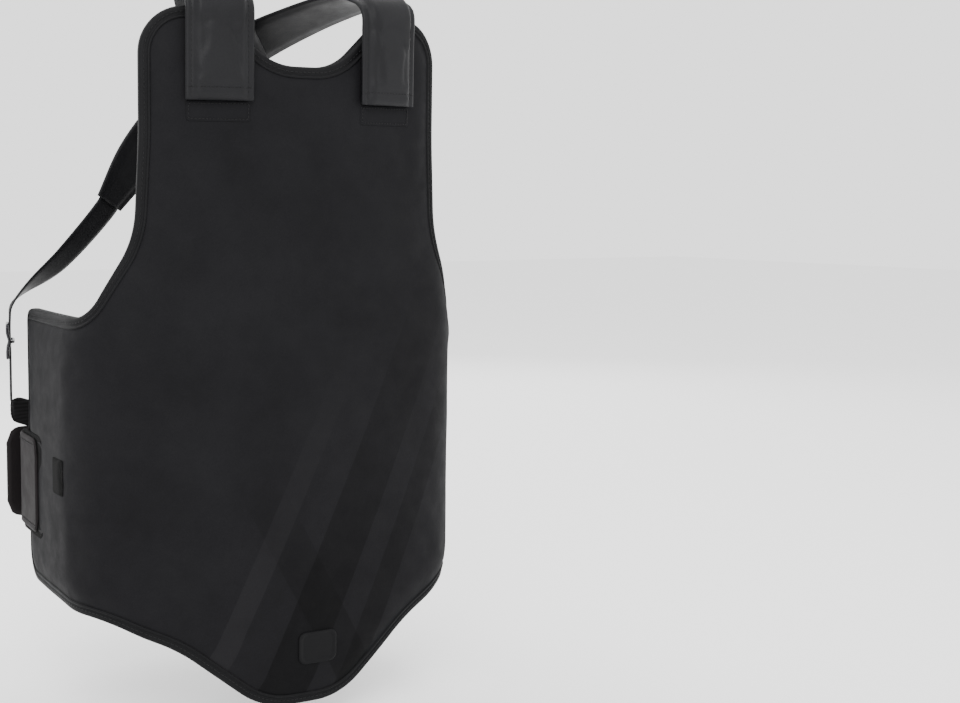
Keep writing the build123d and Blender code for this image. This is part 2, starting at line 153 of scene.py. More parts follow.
def settle(piece, hold, most, slack=0.03, pressure=4.0, frames=20):
    """A short cloth simulation of a piece's skin: it balloons and puckers between its held
    points, and its motion is eased off so that none moves more than this many millimetres."""
    scene = bpy.context.scene
    data = piece.data
    start = np.empty(len(data.vertices) * 3)
    data.vertices.foreach_get("co", start)
    group = piece.vertex_groups.new(name="held")
    for index, share in enumerate(hold):
        group.add([index], float(share), "REPLACE")
    cloth = piece.modifiers.new("cloth", "CLOTH")
    settings = cloth.settings
    settings.quality = 6
    settings.mass = 0.3
    settings.tension_stiffness = settings.compression_stiffness = 12
    settings.shear_stiffness = 5
    settings.bending_stiffness = 0.4
    settings.vertex_group_mass = "held"
    settings.use_pressure = True
    settings.uniform_pressure_force = pressure
    settings.effector_weights.gravity = 0
    settings.shrink_min = -slack
    cloth.collision_settings.use_collision = False
    cloth.point_cache.frame_start, cloth.point_cache.frame_end = 1, frames
    for frame in range(1, frames + 1):
        scene.frame_set(frame)
    shaped = piece.evaluated_get(bpy.context.evaluated_depsgraph_get())
    end = np.empty(len(data.vertices) * 3)
    shaped.data.vertices.foreach_get("co", end)
    piece.modifiers.remove(cloth)
    piece.vertex_groups.remove(group)
    scene.frame_set(1)
    shift = (end - start).reshape(-1, 3)
    far = np.maximum(np.linalg.norm(shift, axis=1, keepdims=True), 1e-9)
    cap = most * MM
    shift *= cap * np.tanh(far / cap) / far
    data.vertices.foreach_set("co", (start.reshape(-1, 3) + shift).ravel())
    data.update()


def held_strip(piece, around, top, rim, ends):
    """Held shares for a strip's points, this many around, the first of them on top: its
    underside, sewn margins and ends stay put."""
    rows = len(piece.data.vertices) // around
    hold = np.ones((rows, around))
    hold[ends:-ends, rim : top - rim] = 0
    return hold.ravel()


def rounded(corners, step=4.0, closed=False):
    """A polyline through corners of (a, b, radius), each turned on an arc, evenly sampled."""
    p = np.array([c[:2] for c in corners], float)
    out = []
    count = len(p)
    for i in range(count):
        if not closed and i in (0, count - 1):
            out.append(p[i])
            continue
        before, here, after = p[i - 1], p[i], p[(i + 1) % count]
        u, v = unit(before - here), unit(after - here)
        half = np.arccos(np.clip(u @ v, -1, 1)) / 2
        if corners[i][2] <= 0 or half > 1.55:
            out.append(here)
            continue
        reach = corners[i][2] / np.tan(half)
        hub = here + unit(u + v) * corners[i][2] / np.sin(half)
        start, end = here + u * reach - hub, here + v * reach - hub
        a0, a1 = atan2(start[1], start[0]), atan2(end[1], end[0])
        turn = (a1 - a0 + pi) % (2 * pi) - pi
        for k in np.linspace(0, 1, max(4, int(abs(turn) * corners[i][2] / step * 3))):
            out.append(hub + corners[i][2] * np.array([cos(a0 + turn * k), sin(a0 + turn * k)]))
    return resample(np.array(out), step, closed)


def rectangle(half_a, half_b, radius, step):
    """A rounded rectangle's outline about (0, 0)."""
    signs = ((-1, -1), (1, -1), (1, 1), (-1, 1))
    return rounded([(half_a * a, half_b * b, radius) for a, b in signs], step, True)


def resample(points, step, closed=False):
    """The same line with even steps."""
    if closed:
        points = np.vstack([points, points[:1]])
    lengths = np.r_[0, np.cumsum(np.linalg.norm(np.diff(points, axis=0), axis=1))]
    count = max(2, int(round(lengths[-1] / step)))
    at = np.linspace(0, lengths[-1], count + 1)
    if closed:
        at = at[:-1]
    return np.stack([np.interp(at, lengths, points[:, k]) for k in range(points.shape[1])], axis=1)


def catmull(values, step):
    """A smooth line through rows of values, whose first three columns are a place, sampled
    evenly."""
    values = np.array(values, float)
    knots = np.r_[0, np.cumsum(np.linalg.norm(np.diff(values[:, :3], axis=0), axis=1) ** 0.5)]
    slopes = np.gradient(values, knots, axis=0)
    fine = []
    for i in range(len(values) - 1):
        width = knots[i + 1] - knots[i]
        for t in np.linspace(0, 1, 24, endpoint=i == len(values) - 2):
            a = (1 + 2 * t) * (1 - t) ** 2 * values[i] + t * (1 - t) ** 2 * width * slopes[i]
            b = t**2 * (3 - 2 * t) * values[i + 1] + t**2 * (t - 1) * width * slopes[i + 1]
            fine.append(a + b)
    fine = np.array(fine)
    lengths = np.r_[0, np.cumsum(np.linalg.norm(np.diff(fine[:, :3], axis=0), axis=1))]
    at = np.linspace(0, lengths[-1], max(3, int(round(lengths[-1] / step)) + 1))
    return np.stack([np.interp(at, lengths, fine[:, k]) for k in range(fine.shape[1])], axis=1)


def smooth01(t):
    t = np.clip(t, 0, 1)
    return t * t * (3 - 2 * t)


def bumps(points, size, amount, seed=0.0, stretch=(1, 1, 1)):
    """Gentle unevenness: one value per point."""
    shift = Vector((seed, seed * 1.7, -seed))
    scaled = np.asarray(points, float) / size * np.array(stretch)
    return np.array([noise.noise(Vector(p) + shift) for p in scaled]) * amount


# ---- materials ------------------------------------------------------------------------------
KNIT_SCALE = 1500.0 / 6.3


class Shader:
    """A node material with short ways to add and join nodes."""

    def __init__(self, name):
        self.material = bpy.data.materials.new(name)
        self.material.use_nodes = True
        self.tree = self.material.node_tree
        self.tree.nodes.clear()
        self.out = self.add("ShaderNodeOutputMaterial")
        self.bsdf = self.add("ShaderNodeBsdfPrincipled")
        self.join(self.bsdf, "BSDF", self.out, "Surface")
        self.place = self.add("ShaderNodeTexCoord")

    def add(self, kind, **settings):
        node = self.tree.nodes.new(kind)
        for key, value in settings.items():
            if hasattr(node, key):
                setattr(node, key, value)
            else:
                node.inputs[key.replace("_", " ").title()].default_value = value
        return node

    def join(self, a, output, b, socket):
        self.tree.links.new(a.outputs[output], b.inputs[socket])

    def placed(self, kind, mapping=None, **settings):
        """A node that reads the object's own coordinates, turned first where mapping says."""
        node = self.add(kind, **settings)
        self.join(mapping or self.place, "Vector" if mapping else "Object", node, "Vector")
        return node

    def turned(self, about_y):
        return self.placed("ShaderNodeMapping", rotation=(0, about_y, 0))

    def noise(self, scale, detail, rough):
        return self.placed("ShaderNodeTexNoise", scale=scale, detail=detail, roughness=rough)

    def wave(self, scale, direction, mapping=None):
        return self.placed("ShaderNodeTexWave", mapping, bands_direction=direction, scale=scale)

    def ramp(self, source, output, stops):
        node = self.add("ShaderNodeValToRGB")
        while len(node.color_ramp.elements) < len(stops):
            node.color_ramp.elements.new(0.5)
        for element, (at, colour) in zip(node.color_ramp.elements, stops):
            element.position = at
            element.color = (*colour, 1) if len(colour) == 3 else (colour[0],) * 3 + (1,)
        self.join(source, output, node, "Fac")
        return node

    def toned(self, source, values, low, high):
        """A ramp between the values times low and the values times high."""
        darker = tuple(v * low for v in values)
        return self.ramp(source, "Fac", [(0.3, darker), (0.7, tuple(min(1, v * high) for v in values))])

    def maths(self, operation, *values):
        node = self.add("ShaderNodeMath", operation=operation)
        for i, value in enumerate(values):
            if isinstance(value, tuple):
                self.tree.links.new(value[0].outputs[value[1]], node.inputs[i])
            else:
                node.inputs[i].default_value = value
        return node

    def mix(self, kind, factor, a, b):
        node = self.add("ShaderNodeMix", data_type="RGBA", blend_type=kind)
        for socket, value in (("Factor", factor), ("A", a), ("B", b)):
            entry = [i for i in node.inputs if i.name == socket and i.enabled][0]
            if isinstance(value, tuple) and isinstance(value[0], bpy.types.Node):
                self.tree.links.new(value[0].outputs[value[1]], entry)
            elif isinstance(value, tuple):
                entry.default_value = (*value, 1)
            else:
                entry.default_value = value
        return node

    def result(self, node):
        """The enabled colour output of a mix node, by its place."""
        return [o for o in node.outputs if o.enabled][0]

    def laid_over(self, last, strength, colour):
        """The colour so far, with another laid over it at this strength."""
        over = self.mix("MIX", (strength, "Value"), (0, 0, 0), colour)
        entry = [i for i in over.inputs if i.name == "A" and i.enabled][0]
        self.tree.links.new(last, entry)
        return self.result(over)

    def eased(self, source, start, end):
        """0 at the start value of the source, 1 at its end value, eased between."""
        node = self.add(
            "ShaderNodeMapRange", interpolation_type="SMOOTHSTEP", from_min=start, from_max=end
        )
        self.join(*source, node, "Value")
        return node

    def bump(self, height, output, strength, distance, under=None):
        node = self.add("ShaderNodeBump", strength=strength, distance=distance)
        self.join(height, output, node, "Height")
        if under:
            self.join(under, "Normal", node, "Normal")
        self.join(node, "Normal", self.bsdf, "Normal")
        return node

    def set(self, **values):
        for key, value in values.items():
            self.bsdf.inputs[key.replace("_", " ")].default_value = value


def leather(name, low, high, rough, shine, grain=1.0, bands=None):
    """Matte synthetic leather: fine pebbled grain and a soft cloudy tone."""
    m = Shader(name)
    cloud = m.noise(9, 4, 0.6)
    tone = m.ramp(cloud, "Fac", [(0.3, low), (0.72, high)])
    speck = m.noise(900, 2, 0.6)
    fleck = m.ramp(speck, "Fac", [(0.35, (0.86,)), (0.7, (1.1,))])
    colour = m.mix("MULTIPLY", 1.0, (tone, "Color"), (fleck, "Color"))
    last = m.result(colour)
    if bands:
        last = bands(m, last)
    m.tree.links.new(last, m.bsdf.inputs["Base Color"])
    pebble = m.placed("ShaderNodeTexVoronoi", scale=1150)
    crease = m.noise(420, 3, 0.6)
    both = m.maths("ADD", (pebble, "Distance"), (crease, "Fac"))
    fine = m.bump(both, "Value", 0.16 * grain, 0.0004)
    soft = m.noise(38, 3, 0.5)
    m.bump(soft, "Fac", 0.10 * grain, 0.004, fine)
    gloss = m.noise(60, 3, 0.6)
    matt = m.ramp(gloss, "Fac", [(0.3, (rough - 0.05,)), (0.75, (rough + 0.09,))])
    m.join(matt, "Color", m.bsdf, "Roughness")
    m.set(Specular_IOR_Level=shine)
    return m.material


def knit(name, colour, pattern):
    """A fine weft knit: columns of loops, with a faint broken lattice woven in."""
    m = Shader(name)
    tone = m.noise(14, 4, 0.6)
    base = m.toned(tone, colour, 0.8, 1.25)
    wale = m.wave(KNIT_SCALE, "X")
    course = m.wave(KNIT_SCALE, "Z")
    loops = m.maths("MULTIPLY", (wale, "Fac"), (course, "Fac"))
    shade = m.ramp(loops, "Value", [(0.0, (0.55,)), (0.8, (1.25,))])
    colour_mix = m.mix("MULTIPLY", 0.9, (base, "Color"), (shade, "Color"))
    turned = m.turned(radians(45))
    lattice_a = m.wave(11.0, "X", turned)
    lattice_b = m.wave(11.0, "Z", turned)
    lines = m.maths("MAXIMUM", (lattice_a, "Fac"), (lattice_b, "Fac"))
    thin = m.maths("GREATER_THAN", (lines, "Value"), 0.985)
    broken = m.noise(55, 2, 0.7)
    gate = m.maths("GREATER_THAN", (broken, "Fac"), 0.5)
    mask = m.maths("MULTIPLY", (thin, "Value"), (gate, "Value"))
    faint = m.maths("MULTIPLY", (mask, "Value"), pattern)
    last = m.laid_over(m.result(colour_mix), faint, tuple(c * 3 for c in colour))
    m.tree.links.new(last, m.bsdf.inputs["Base Color"])
    m.bump(loops, "Value", 0.5, 0.0006)
    m.set(Roughness=0.92, Specular_IOR_Level=0.08, Sheen_Weight=0.04, Sheen_Roughness=0.6)
    return m.material


def ribbed(name, colour, pitch, turn=0.0):
    """Cloth with ribs, such as webbing and air mesh: they repeat every two pitches, in mm."""
    m = Shader(name)
    turned = m.turned(turn)
    rib = m.wave(1000 / pitch / 6.28, "Z", turned)
    cross = m.wave(1000 / 0.9 / 6.28, "X", turned)
    across = m.ramp(cross, "Fac", [(0, (0.7,)), (1, (1,))])
    weave = m.maths("MULTIPLY", (rib, "Fac"), (across, "Color"))
    tone = m.noise(25, 4, 0.6)
    base = m.toned(tone, colour, 0.8, 1.2)
    shade = m.ramp(weave, "Value", [(0.0, (0.5,)), (0.7, (1.2,))])
    mixed = m.mix("MULTIPLY", 0.9, (base, "Color"), (shade, "Color"))
    m.tree.links.new(m.result(mixed), m.bsdf.inputs["Base Color"])
    m.bump(weave, "Value", 0.55, 0.0007)
    m.set(Roughness=0.85, Specular_IOR_Level=0.1, Sheen_Weight=0.03, Sheen_Roughness=0.5)
    return m.material


def plain(name, colour, rough, metallic=0.0, grain=200.0, depth=0.05, spec=0.5):
    """A simple finish with fine unevenness in tone, gloss and surface."""
    m = Shader(name)
    spots = m.noise(grain, 4, 0.6)
    m.join(m.toned(spots, colour, 0.85, 1.15), "Color", m.bsdf, "Base Color")
    m.join(m.toned(spots, (rough,), 0.85, 1.15), "Color", m.bsdf, "Roughness")
    m.bump(spots, "Fac", depth, 0.0004)
    m.set(Metallic=metallic, Specular_IOR_Level=spec)
    return m.material


def tonal_bands(m, last):
    """Broad diagonal bands a shade darker or lighter than the leather, fading out upwards."""
    split = m.add("ShaderNodeSeparateXYZ")
    m.join(m.place, "Object", split, "Vector")
    for slope, offset, half, amount, low, high in (
        (0.95, 0.045, 0.026, -0.55, -0.16, 0.34),
        (0.95, 0.112, 0.014, -0.45, -0.14, 0.34),
        (-1.10, -0.020, 0.022, -0.50, -0.18, 0.10),
        (0.95, -0.030, 0.012, 0.30, -0.16, 0.22),
    ):
        lean = m.maths("MULTIPLY", (split, "Z"), slope * 0.5)
        across = m.maths("SUBTRACT", (split, "X"), (lean, "Value"))
        centred = m.maths("SUBTRACT", (across, "Value"), offset)
        away = m.maths("ABSOLUTE", (centred, "Value"))
        inside = m.eased((away, "Value"), half, half - 0.0012)
        fade = m.eased((split, "Z"), high, low)
        mask = m.maths("MULTIPLY", (inside, "Result"), (fade, "Result"))
        strength = m.maths("MULTIPLY", (mask, "Value"), abs(amount))
        target = (0.0, 0.0, 0.0) if amount < 0 else (0.016, 0.0155, 0.017)
        last = m.laid_over(last, strength, target)
    return last


TONES = {  # each leather's darker and lighter tone
    "cover": ((0.0046, 0.0045, 0.0052), (0.0072, 0.0071, 0.0081)),
    "strap": ((0.0056, 0.0056, 0.0064), (0.0086, 0.0086, 0.0097)),
    "belt": ((0.0078, 0.0066, 0.0070), (0.0112, 0.0095, 0.0100)),
    "binding": ((0.0036, 0.0036, 0.0040), (0.0062, 0.0062, 0.0068)),
}
COVER = leather("cover_leather", *TONES["cover"], 0.66, 0.07, bands=tonal_bands)
STRAP = leather("strap_leather", *TONES["strap"], 0.46, 0.13)
BELT = leather("belt_leather", *TONES["belt"], 0.62, 0.07)
BINDING = leather("binding_leather", *TONES["binding"], 0.55, 0.08, 0.8)
LINING = knit("knit_lining", (0.0058, 0.0062, 0.0064), pattern=0.2)
MESH = ribbed("air_mesh", (0.0048, 0.0048, 0.0050), 2.2, radians(90))
WEBBING = ribbed("woven_webbing", (0.0070, 0.0068, 0.0070), 1.7)
FOAM = plain("foam", (0.05, 0.05, 0.055), 0.9, 0, 500, 0.3, 0.2)
THREAD = plain("thread", (0.0035, 0.0035, 0.004), 0.55, 0, 1500, 0.3, 0.2)
METAL = plain("plated_metal", (0.035, 0.035, 0.038), 0.26, 1.0, 60, 0.02)
BADGE = plain("moulded_badge", (0.0042, 0.0042, 0.0046), 0.5, 0, 700, 0.1, 0.08)
HOOK = plain("hook_tape", (0.004, 0.004, 0.004), 0.85, 0, 2500, 1.0, 0.08)
LOOP = plain("loop_tape", (0.005, 0.005, 0.005), 0.95, 0, 1800, 1.0, 0.06)
LABEL = plain("woven_label", (0.16, 0.16, 0.16), 0.8, 0, 1500, 0.4, 0.2)

# ---- the panel ------------------------------------------------------------------------------
EDGE_STEP = 4.0
half_outline = [  # (s, height above the lowest point, corner radius)
    (0, 0, 0),
    (40, 0, 78),
    (118, 60, 160),
    (185, 89, 120),
    (262, 92, 500),
    (END_S, 93, 30),
    (END_S, 350, 13),
    (203, 350, 42),
    (155, 418, 85),
    (150, 505, 500),
    (150, 612, 40),
    (84, 612, 26),
    (31, 565, 58),
    (0, 565, 0),
]
right_half = [(s, h + BOTTOM_Z, r) for s, h, r in half_outline]
whole = right_half[1:-1] + [(-s, z, r) for s, z, r in reversed(right_half[1:-1])]
edge = rounded(whole, EDGE_STEP, closed=True)
edge_tangent = unit(np.roll(edge, -1, 0) - np.roll(edge, 1, 0))
edge_in = np.stack([-edge_tangent[:, 1], edge_tangent[:, 0]], axis=1)

BINDING_IN = 8.6  # the skins run in from under the binding's piping
DART = np.array([[193.0, 366.0 + BOTTOM_Z], [150.0, 200.0 + BOTTOM_Z], [131.0, 62.0 + BOTTOM_Z]])


def inset(amount):
    return edge + edge_in * amount


def to_edge(points):
    """Each point's distance to the panel's outline."""
    points = np.asarray(points, float)
    best = np.full(len(points), 1e9)
    for chunk in range(0, len(edge), 64):
        gaps = np.linalg.norm(points[:, None] - edge[None, chunk : chunk + 64], axis=2)
        best = np.minimum(best, gaps.min(1))
    return best


def dart_line(side):
    return catmull(np.c_[DART * [side, 1], np.zeros(3)], 5.0)[:, :2]


def to_dart(points):
    lines = np.vstack([dart_line(-1), dart_line(1)])
    return np.linalg.norm(points[:, None] - lines[None], axis=2).min(1)


def beyond_dart(points):
    """Which points lie on the wing's side of a dart seam."""
    z = np.clip(points[:, 1], DART[-1, 1], DART[0, 1])
    line = dart_line(1)
    order = np.argsort(line[:, 1])
    return np.abs(points[:, 0]) > np.interp(z, line[order, 1], line[order, 0])


GRID = 7.5
GRID_RISE = 630  # the grid's height; its half width is GRID_REACH
GRID_REACH = 355
RIM_RINGS = (0, 3, 7)  # rings this far in from the skins' edge
SEAM_GAP = 3.6  # grid points nearer a dart seam are left out


def panel_mesh_2d():
    """Points and triangles over the panel in (s, z), with finer rings near the edge."""
    rings = [inset(BINDING_IN + d) for d in RIM_RINGS]
    across = np.arange(-GRID_REACH, GRID_REACH + 1, GRID)
    grid_s, grid_z = np.meshgrid(across, np.arange(BOTTOM_Z, BOTTOM_Z + GRID_RISE, GRID))
    grid_s = grid_s + np.where(np.arange(grid_s.shape[0]) % 2, GRID / 2, 0)[:, None]
    grid = np.stack([grid_s.ravel(), grid_z.ravel()], axis=1)
    from_rim = to_edge(grid)
    inner = ring_contains(grid) & (from_rim > BINDING_IN + 11)
    darts = [dart_line(side) for side in (-1, 1)]
    darts = [d[to_edge(d) > BINDING_IN + 9] for d in darts]
    to_seams = [np.linalg.norm(grid[:, None] - d[None], axis=2).min(1) for d in darts]
    clear = np.min(to_seams, axis=0) > SEAM_GAP
    points = np.vstack([*rings, *darts, grid[inner & clear]])
    count = len(rings[0])
    rim = [(i, (i + 1) % count) for i in range(count)]
    seams = []
    start = sum(len(r) for r in rings)
    for d in darts:
        seams += [(start + i, start + i + 1) for i in range(len(d) - 1)]
        start += len(d)
    found = delaunay_2d_cdt([Vector(p) for p in points], rim + seams, [], 1, 1e-6)
    flat = np.array([tuple(v) for v in found[0]])
    return flat, [tuple(f) for f in found[2]]


def ring_contains(points):
    """Which points lie inside the panel's outline."""
    inside = np.zeros(len(points), bool)
    x0, z0 = edge[:, 0], edge[:, 1]
    x1, z1 = np.roll(x0, -1), np.roll(z0, -1)
    for a0, b0, a1, b1 in zip(x0, z0, x1, z1):
        crosses = (b0 > points[:, 1]) != (b1 > points[:, 1])
        with np.errstate(divide="ignore", invalid="ignore"):
            at = (a1 - a0) * (points[:, 1] - b0) / (b1 - b0) + a0
        inside ^= crosses & (points[:, 0] < at)
    return inside


def rise(d, reach=30.0):
    """0 at the binding, 1 once this far in from it: how full the padding is."""
    t = np.clip((d - BINDING_IN + 1) / reach, 0, 1)
    return 1 - (1 - t) ** 2.2


def face_depth(points, d):
    """Depth of the leather face: pulled in at the binding, and very slightly uneven."""
    place = np.c_[points, np.zeros(len(points))]
    full = rise(d, 26)
    return 4.6 * (1 - full) + full * (bumps(place, 95, 0.7, 3.0) + bumps(place, 30, 0.22, 9.0))


def lining_depth(points, d):
    """Depth of the lining: pulled in at the binding and at the dart seams, with soft creases."""
    place = np.c_[points, np.zeros(len(points))]
    full = rise(d, 30)
    seam = np.exp(-((to_dart(points) / 7.0) ** 2))
    crease = bumps(place, 60, 1.5, 5.0, (0.5, 1.4, 1)) + bumps(place, 22, 0.5, 1.0, (0.5, 1.2, 1))
    return 15.6 + full * 5.4 - seam * 3.0 * full + full * crease


flat_points, flat_faces = panel_mesh_2d()
edge_gap = to_edge(flat_points)
DEPTHS = {
    "face": face_depth(flat_points, edge_gap),
    "lining": lining_depth(flat_points, edge_gap),
}


def slab(name, outer, inner, material, keep=None):
    """A closed layer of the panel between two depths, over the faces that keep chooses."""
    faces = [f for f, kept in zip(flat_faces, every_face if keep is None else keep) if kept]
    used = sorted({i for f in faces for i in f})
    index = {old: new for new, old in enumerate(used)}
    faces = [tuple(index[i] for i in f) for f in faces]
    s, z = flat_points[used].T
    front = on_panel(s, z, outer[used])
    back = on_panel(s, z, inner[used])
    count = len(used)
    area = lambda f: np.cross(front[f[1]] - front[f[0]], front[f[2]] - front[f[0]])
    facing = panel_normal(s)
    edges = {}
    turned = []
    for f in faces:
        f = f if area(f) @ facing[f[0]] > 0 else f[::-1]
        turned.append(f)
        for a, b in zip(f, f[1:] + f[:1]):
            edges[(a, b)] = edges.get((a, b), 0) + 1
    rim = [(a, b) for a, b in edges if (b, a) not in edges]
    all_faces = turned + [tuple(i + count for i in f[::-1]) for f in turned]
    all_faces += [(b, a, a + count, b + count) for a, b in rim]
    return mesh_piece(name, np.vstack([front, back]), all_faces, material)


face_middles = np.array([flat_points[list(f)].mean(0) for f in flat_faces])
every_face = np.ones(len(flat_faces), bool)
wing_side = beyond_dart(face_middles)
left_wing = wing_side & (face_middles[:, 0] > 0)
right_wing = wing_side & (face_middles[:, 0] < 0)
COVER_MM, LINING_MM = 1.4, 1.2
middle = (DEPTHS["face"] * 0.45 + DEPTHS["lining"] * 0.55)
cover = slab("cover_skin", DEPTHS["face"], DEPTHS["face"] + COVER_MM, COVER)
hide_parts("front_cover")
impact = slab("impact_padding", DEPTHS["face"] + COVER_MM + 0.1, middle, FOAM)
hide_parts("impact_foam_centre", "impact_foam_wing_left", "impact_foam_wing_right")
comfort = slab("comfort_padding", middle + 0.1, DEPTHS["lining"] - LINING_MM - 0.1, FOAM)
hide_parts("comfort_foam_centre", "comfort_foam_wing_left", "comfort_foam_wing_right")
for name, keep, material, node, slot in (
    ("lining_body", ~wing_side, LINING, "lining_centre", "lining"),
    ("lining_left", left_wing, MESH, "lining_wing_left", "mesh_lining"),
    ("lining_right", right_wing, MESH, "lining_wing_right", "mesh_lining"),
):
    lining = slab(name, DEPTHS["lining"] - LINING_MM, DEPTHS["lining"], material, keep)
    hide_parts(node)
count = len(flat_points)
sewn_on = [(12, 52 + BOTTOM_Z), (82, 560 + BOTTOM_Z), (-82, 560 + BOTTOM_Z), (12, 30 + BOTTOM_Z)]
near_sewn = np.min([np.linalg.norm((flat_points - p) * (1, 0.7), axis=1) for p in sewn_on], axis=0)
free = smooth01((edge_gap - 12) / 12) * smooth01((near_sewn - 38) / 20)
settle(cover, np.r_[1 - free, np.ones(count)], most=0.7, slack=0.012)


# The binding: tape over the panel's edge, with a piping ridge along each side of it.
binding_profile = [  # (in from the edge, depth)
    (10.8, 5.6), (10.6, 4.0), (10.0, 3.0), (9.2, 2.6), (8.4, 2.9), (7.8, 3.7), (7.4, 4.3),
    (6.6, 4.3), (5.0, 4.0), (3.2, 4.0), (1.6, 4.3), (0.6, 5.2), (0.05, 7.0), (-0.15, 10.2),
    (0.05, 13.4), (0.6, 15.2), (1.6, 16.1), (3.2, 16.4), (5.0, 16.4), (6.6, 16.1), (7.4, 16.0),
    (7.8, 16.6), (8.4, 17.4), (9.2, 17.7), (10.0, 17.3), (10.6, 16.3), (10.8, 14.6), (10.2, 10.0),
]


def swept_edge(name, profile, material):
    """A tube of that profile along the panel's whole edge."""
    rows = []
    for u, w in profile:
        line = edge + edge_in * u
        rows.append(on_panel(line[:, 0], line[:, 1], w))
    points = np.stack(rows, axis=1)
    count, across = points.shape[:2]
    faces = []
    for i in range(count):
        j = (i + 1) % count
        for k in range(across):
            m = (k + 1) % across
            faces.append((i * across + k, j * across + k, j * across + m, i * across + m))
    return mesh_piece(name, points.reshape(-1, 3), faces, material)


binding = swept_edge("edge_tape", binding_profile, BINDING)
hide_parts("edge_binding")


def stitches(name, points, normals, pitch=4.2, length=3.0, body="root", closed=False):
    """A row of thread stitches lying along a line on a surface."""
    width, lift = 0.42, 0.15
    fine = resample(np.hstack([points, normals]), pitch, closed)
    along = tangents(fine[:, :3])
    return stitch_marks(name, fine[:, :3], unit(fine[:, 3:]), along, length, width, lift, body)


def tangents(points):
    return unit(np.gradient(points, axis=0))


def stitch_marks(name, places, normals, along, length, width, lift, body="root"):
    """One small rounded thread mark at each place."""
    ring = 6
    ends = ((-0.5, 0.35), (-0.36, 0.9), (0.0, 1.0), (0.36, 0.9), (0.5, 0.35))
    mark = skin_faces(len(ends), ring, caps=True)
    points, faces = [], []
    for place, normal, way in zip(places, normals, along):
        across = np.cross(normal, way)
        base = len(points)
        for where, size in ends:
            for k in range(ring):
                a = 2 * pi * k / ring
                sink = -0.5 * width * (abs(where) * 2) ** 2
                offset = across * cos(a) * width * size + normal * (sin(a) * width * size + lift + sink)
                points.append(place + way * length * where + offset)
        faces += [tuple(base + k for k in face) for face in mark]
    piece = mesh_piece(name, points, faces, THREAD, body)
    return piece


def edge_stitches(name, inward, depth):
    line = edge + edge_in * inward
    outward = panel_normal(line[:, 0]) * (1 if depth < 10 else -1)
    stitches(name, on_panel(line[:, 0], line[:, 1], depth), outward, closed=True)


edge_stitches("edge_stitches_front", 5.0, 4.0)
edge_stitches("edge_stitches_back", 5.0, 16.4)
for side, word in ((1, "left"), (-1, "right")):
    line = dart_line(side)
    line = line[to_edge(line) > 12]
    beside = line + [2.2 * side, 0]
    flat = np.abs(flat_points[None] - beside[:, None]).sum(2).argmin(1)
    depth = DEPTHS["lining"][flat]
    seam = on_panel(beside[:, 0], beside[:, 1], depth)
    stitches(f"dart_stitches_{word}", seam, -panel_normal(beside[:, 0]), 6.0, 4.0)

# ---- strips: straps, webbing and belt layers -----------------------------------------------
def strip(name, line, profile, material, body="root"):
    """A closed strip along a line of (x, y, z, outward normal, across, width) rows. profile
    gives, for a row number and its distance from both ends, points (across share, height)."""
    rows, rings = len(line), []
    steps = np.r_[0, np.cumsum(np.linalg.norm(np.diff(line[:, :3], axis=0), axis=1))]
    for i in range(rows):
        place, normal, across, width = line[i, :3], line[i, 3:6], line[i, 6:9], line[i, 9]
        shape = np.array(profile(steps[i], steps[-1] - steps[i], width))
        rings.append(place + across * shape[:, :1] + normal * shape[:, 1:])
    faces = skin_faces(rows, len(rings[0]), caps=True)
    piece = mesh_piece(name, np.vstack(rings), faces, material, body)
    tidy_normals(piece)
    return piece


def tidy_normals(piece):
    work = bmesh.new()
    work.from_mesh(piece.data)
    bmesh.ops.recalc_face_normals(work, faces=work.faces)
    work.to_mesh(piece.data)
    work.free()


def path_line(stations, step=4.0):
    """Rows for strip() through stations of (place, outward normal, width)."""
    values = np.array([[*p, *n, w] for p, n, w in stations], float)
    fine = catmull(values, step)
    along = tangents(fine[:, :3])
    across = unit(np.cross(fine[:, 3:6], along))
    normal = unit(np.cross(along, across))
    return np.hstack([fine[:, :3], normal, across, fine[:, 6:7]])


def row_along(line, share_or_mm, height):
    """Points and normals along a strip, this far across it from its middle and this high."""
    return line[:, :3] + line[:, 6:9] * share_or_mm + line[:, 3:6] * height, line[:, 3:6]


def h(value):
    return BOTTOM_Z + value


def mirrored(stations):
    return [((-x, y, z), (-nx, ny, nz), w) for (x, y, z), (nx, ny, nz), w in stations]


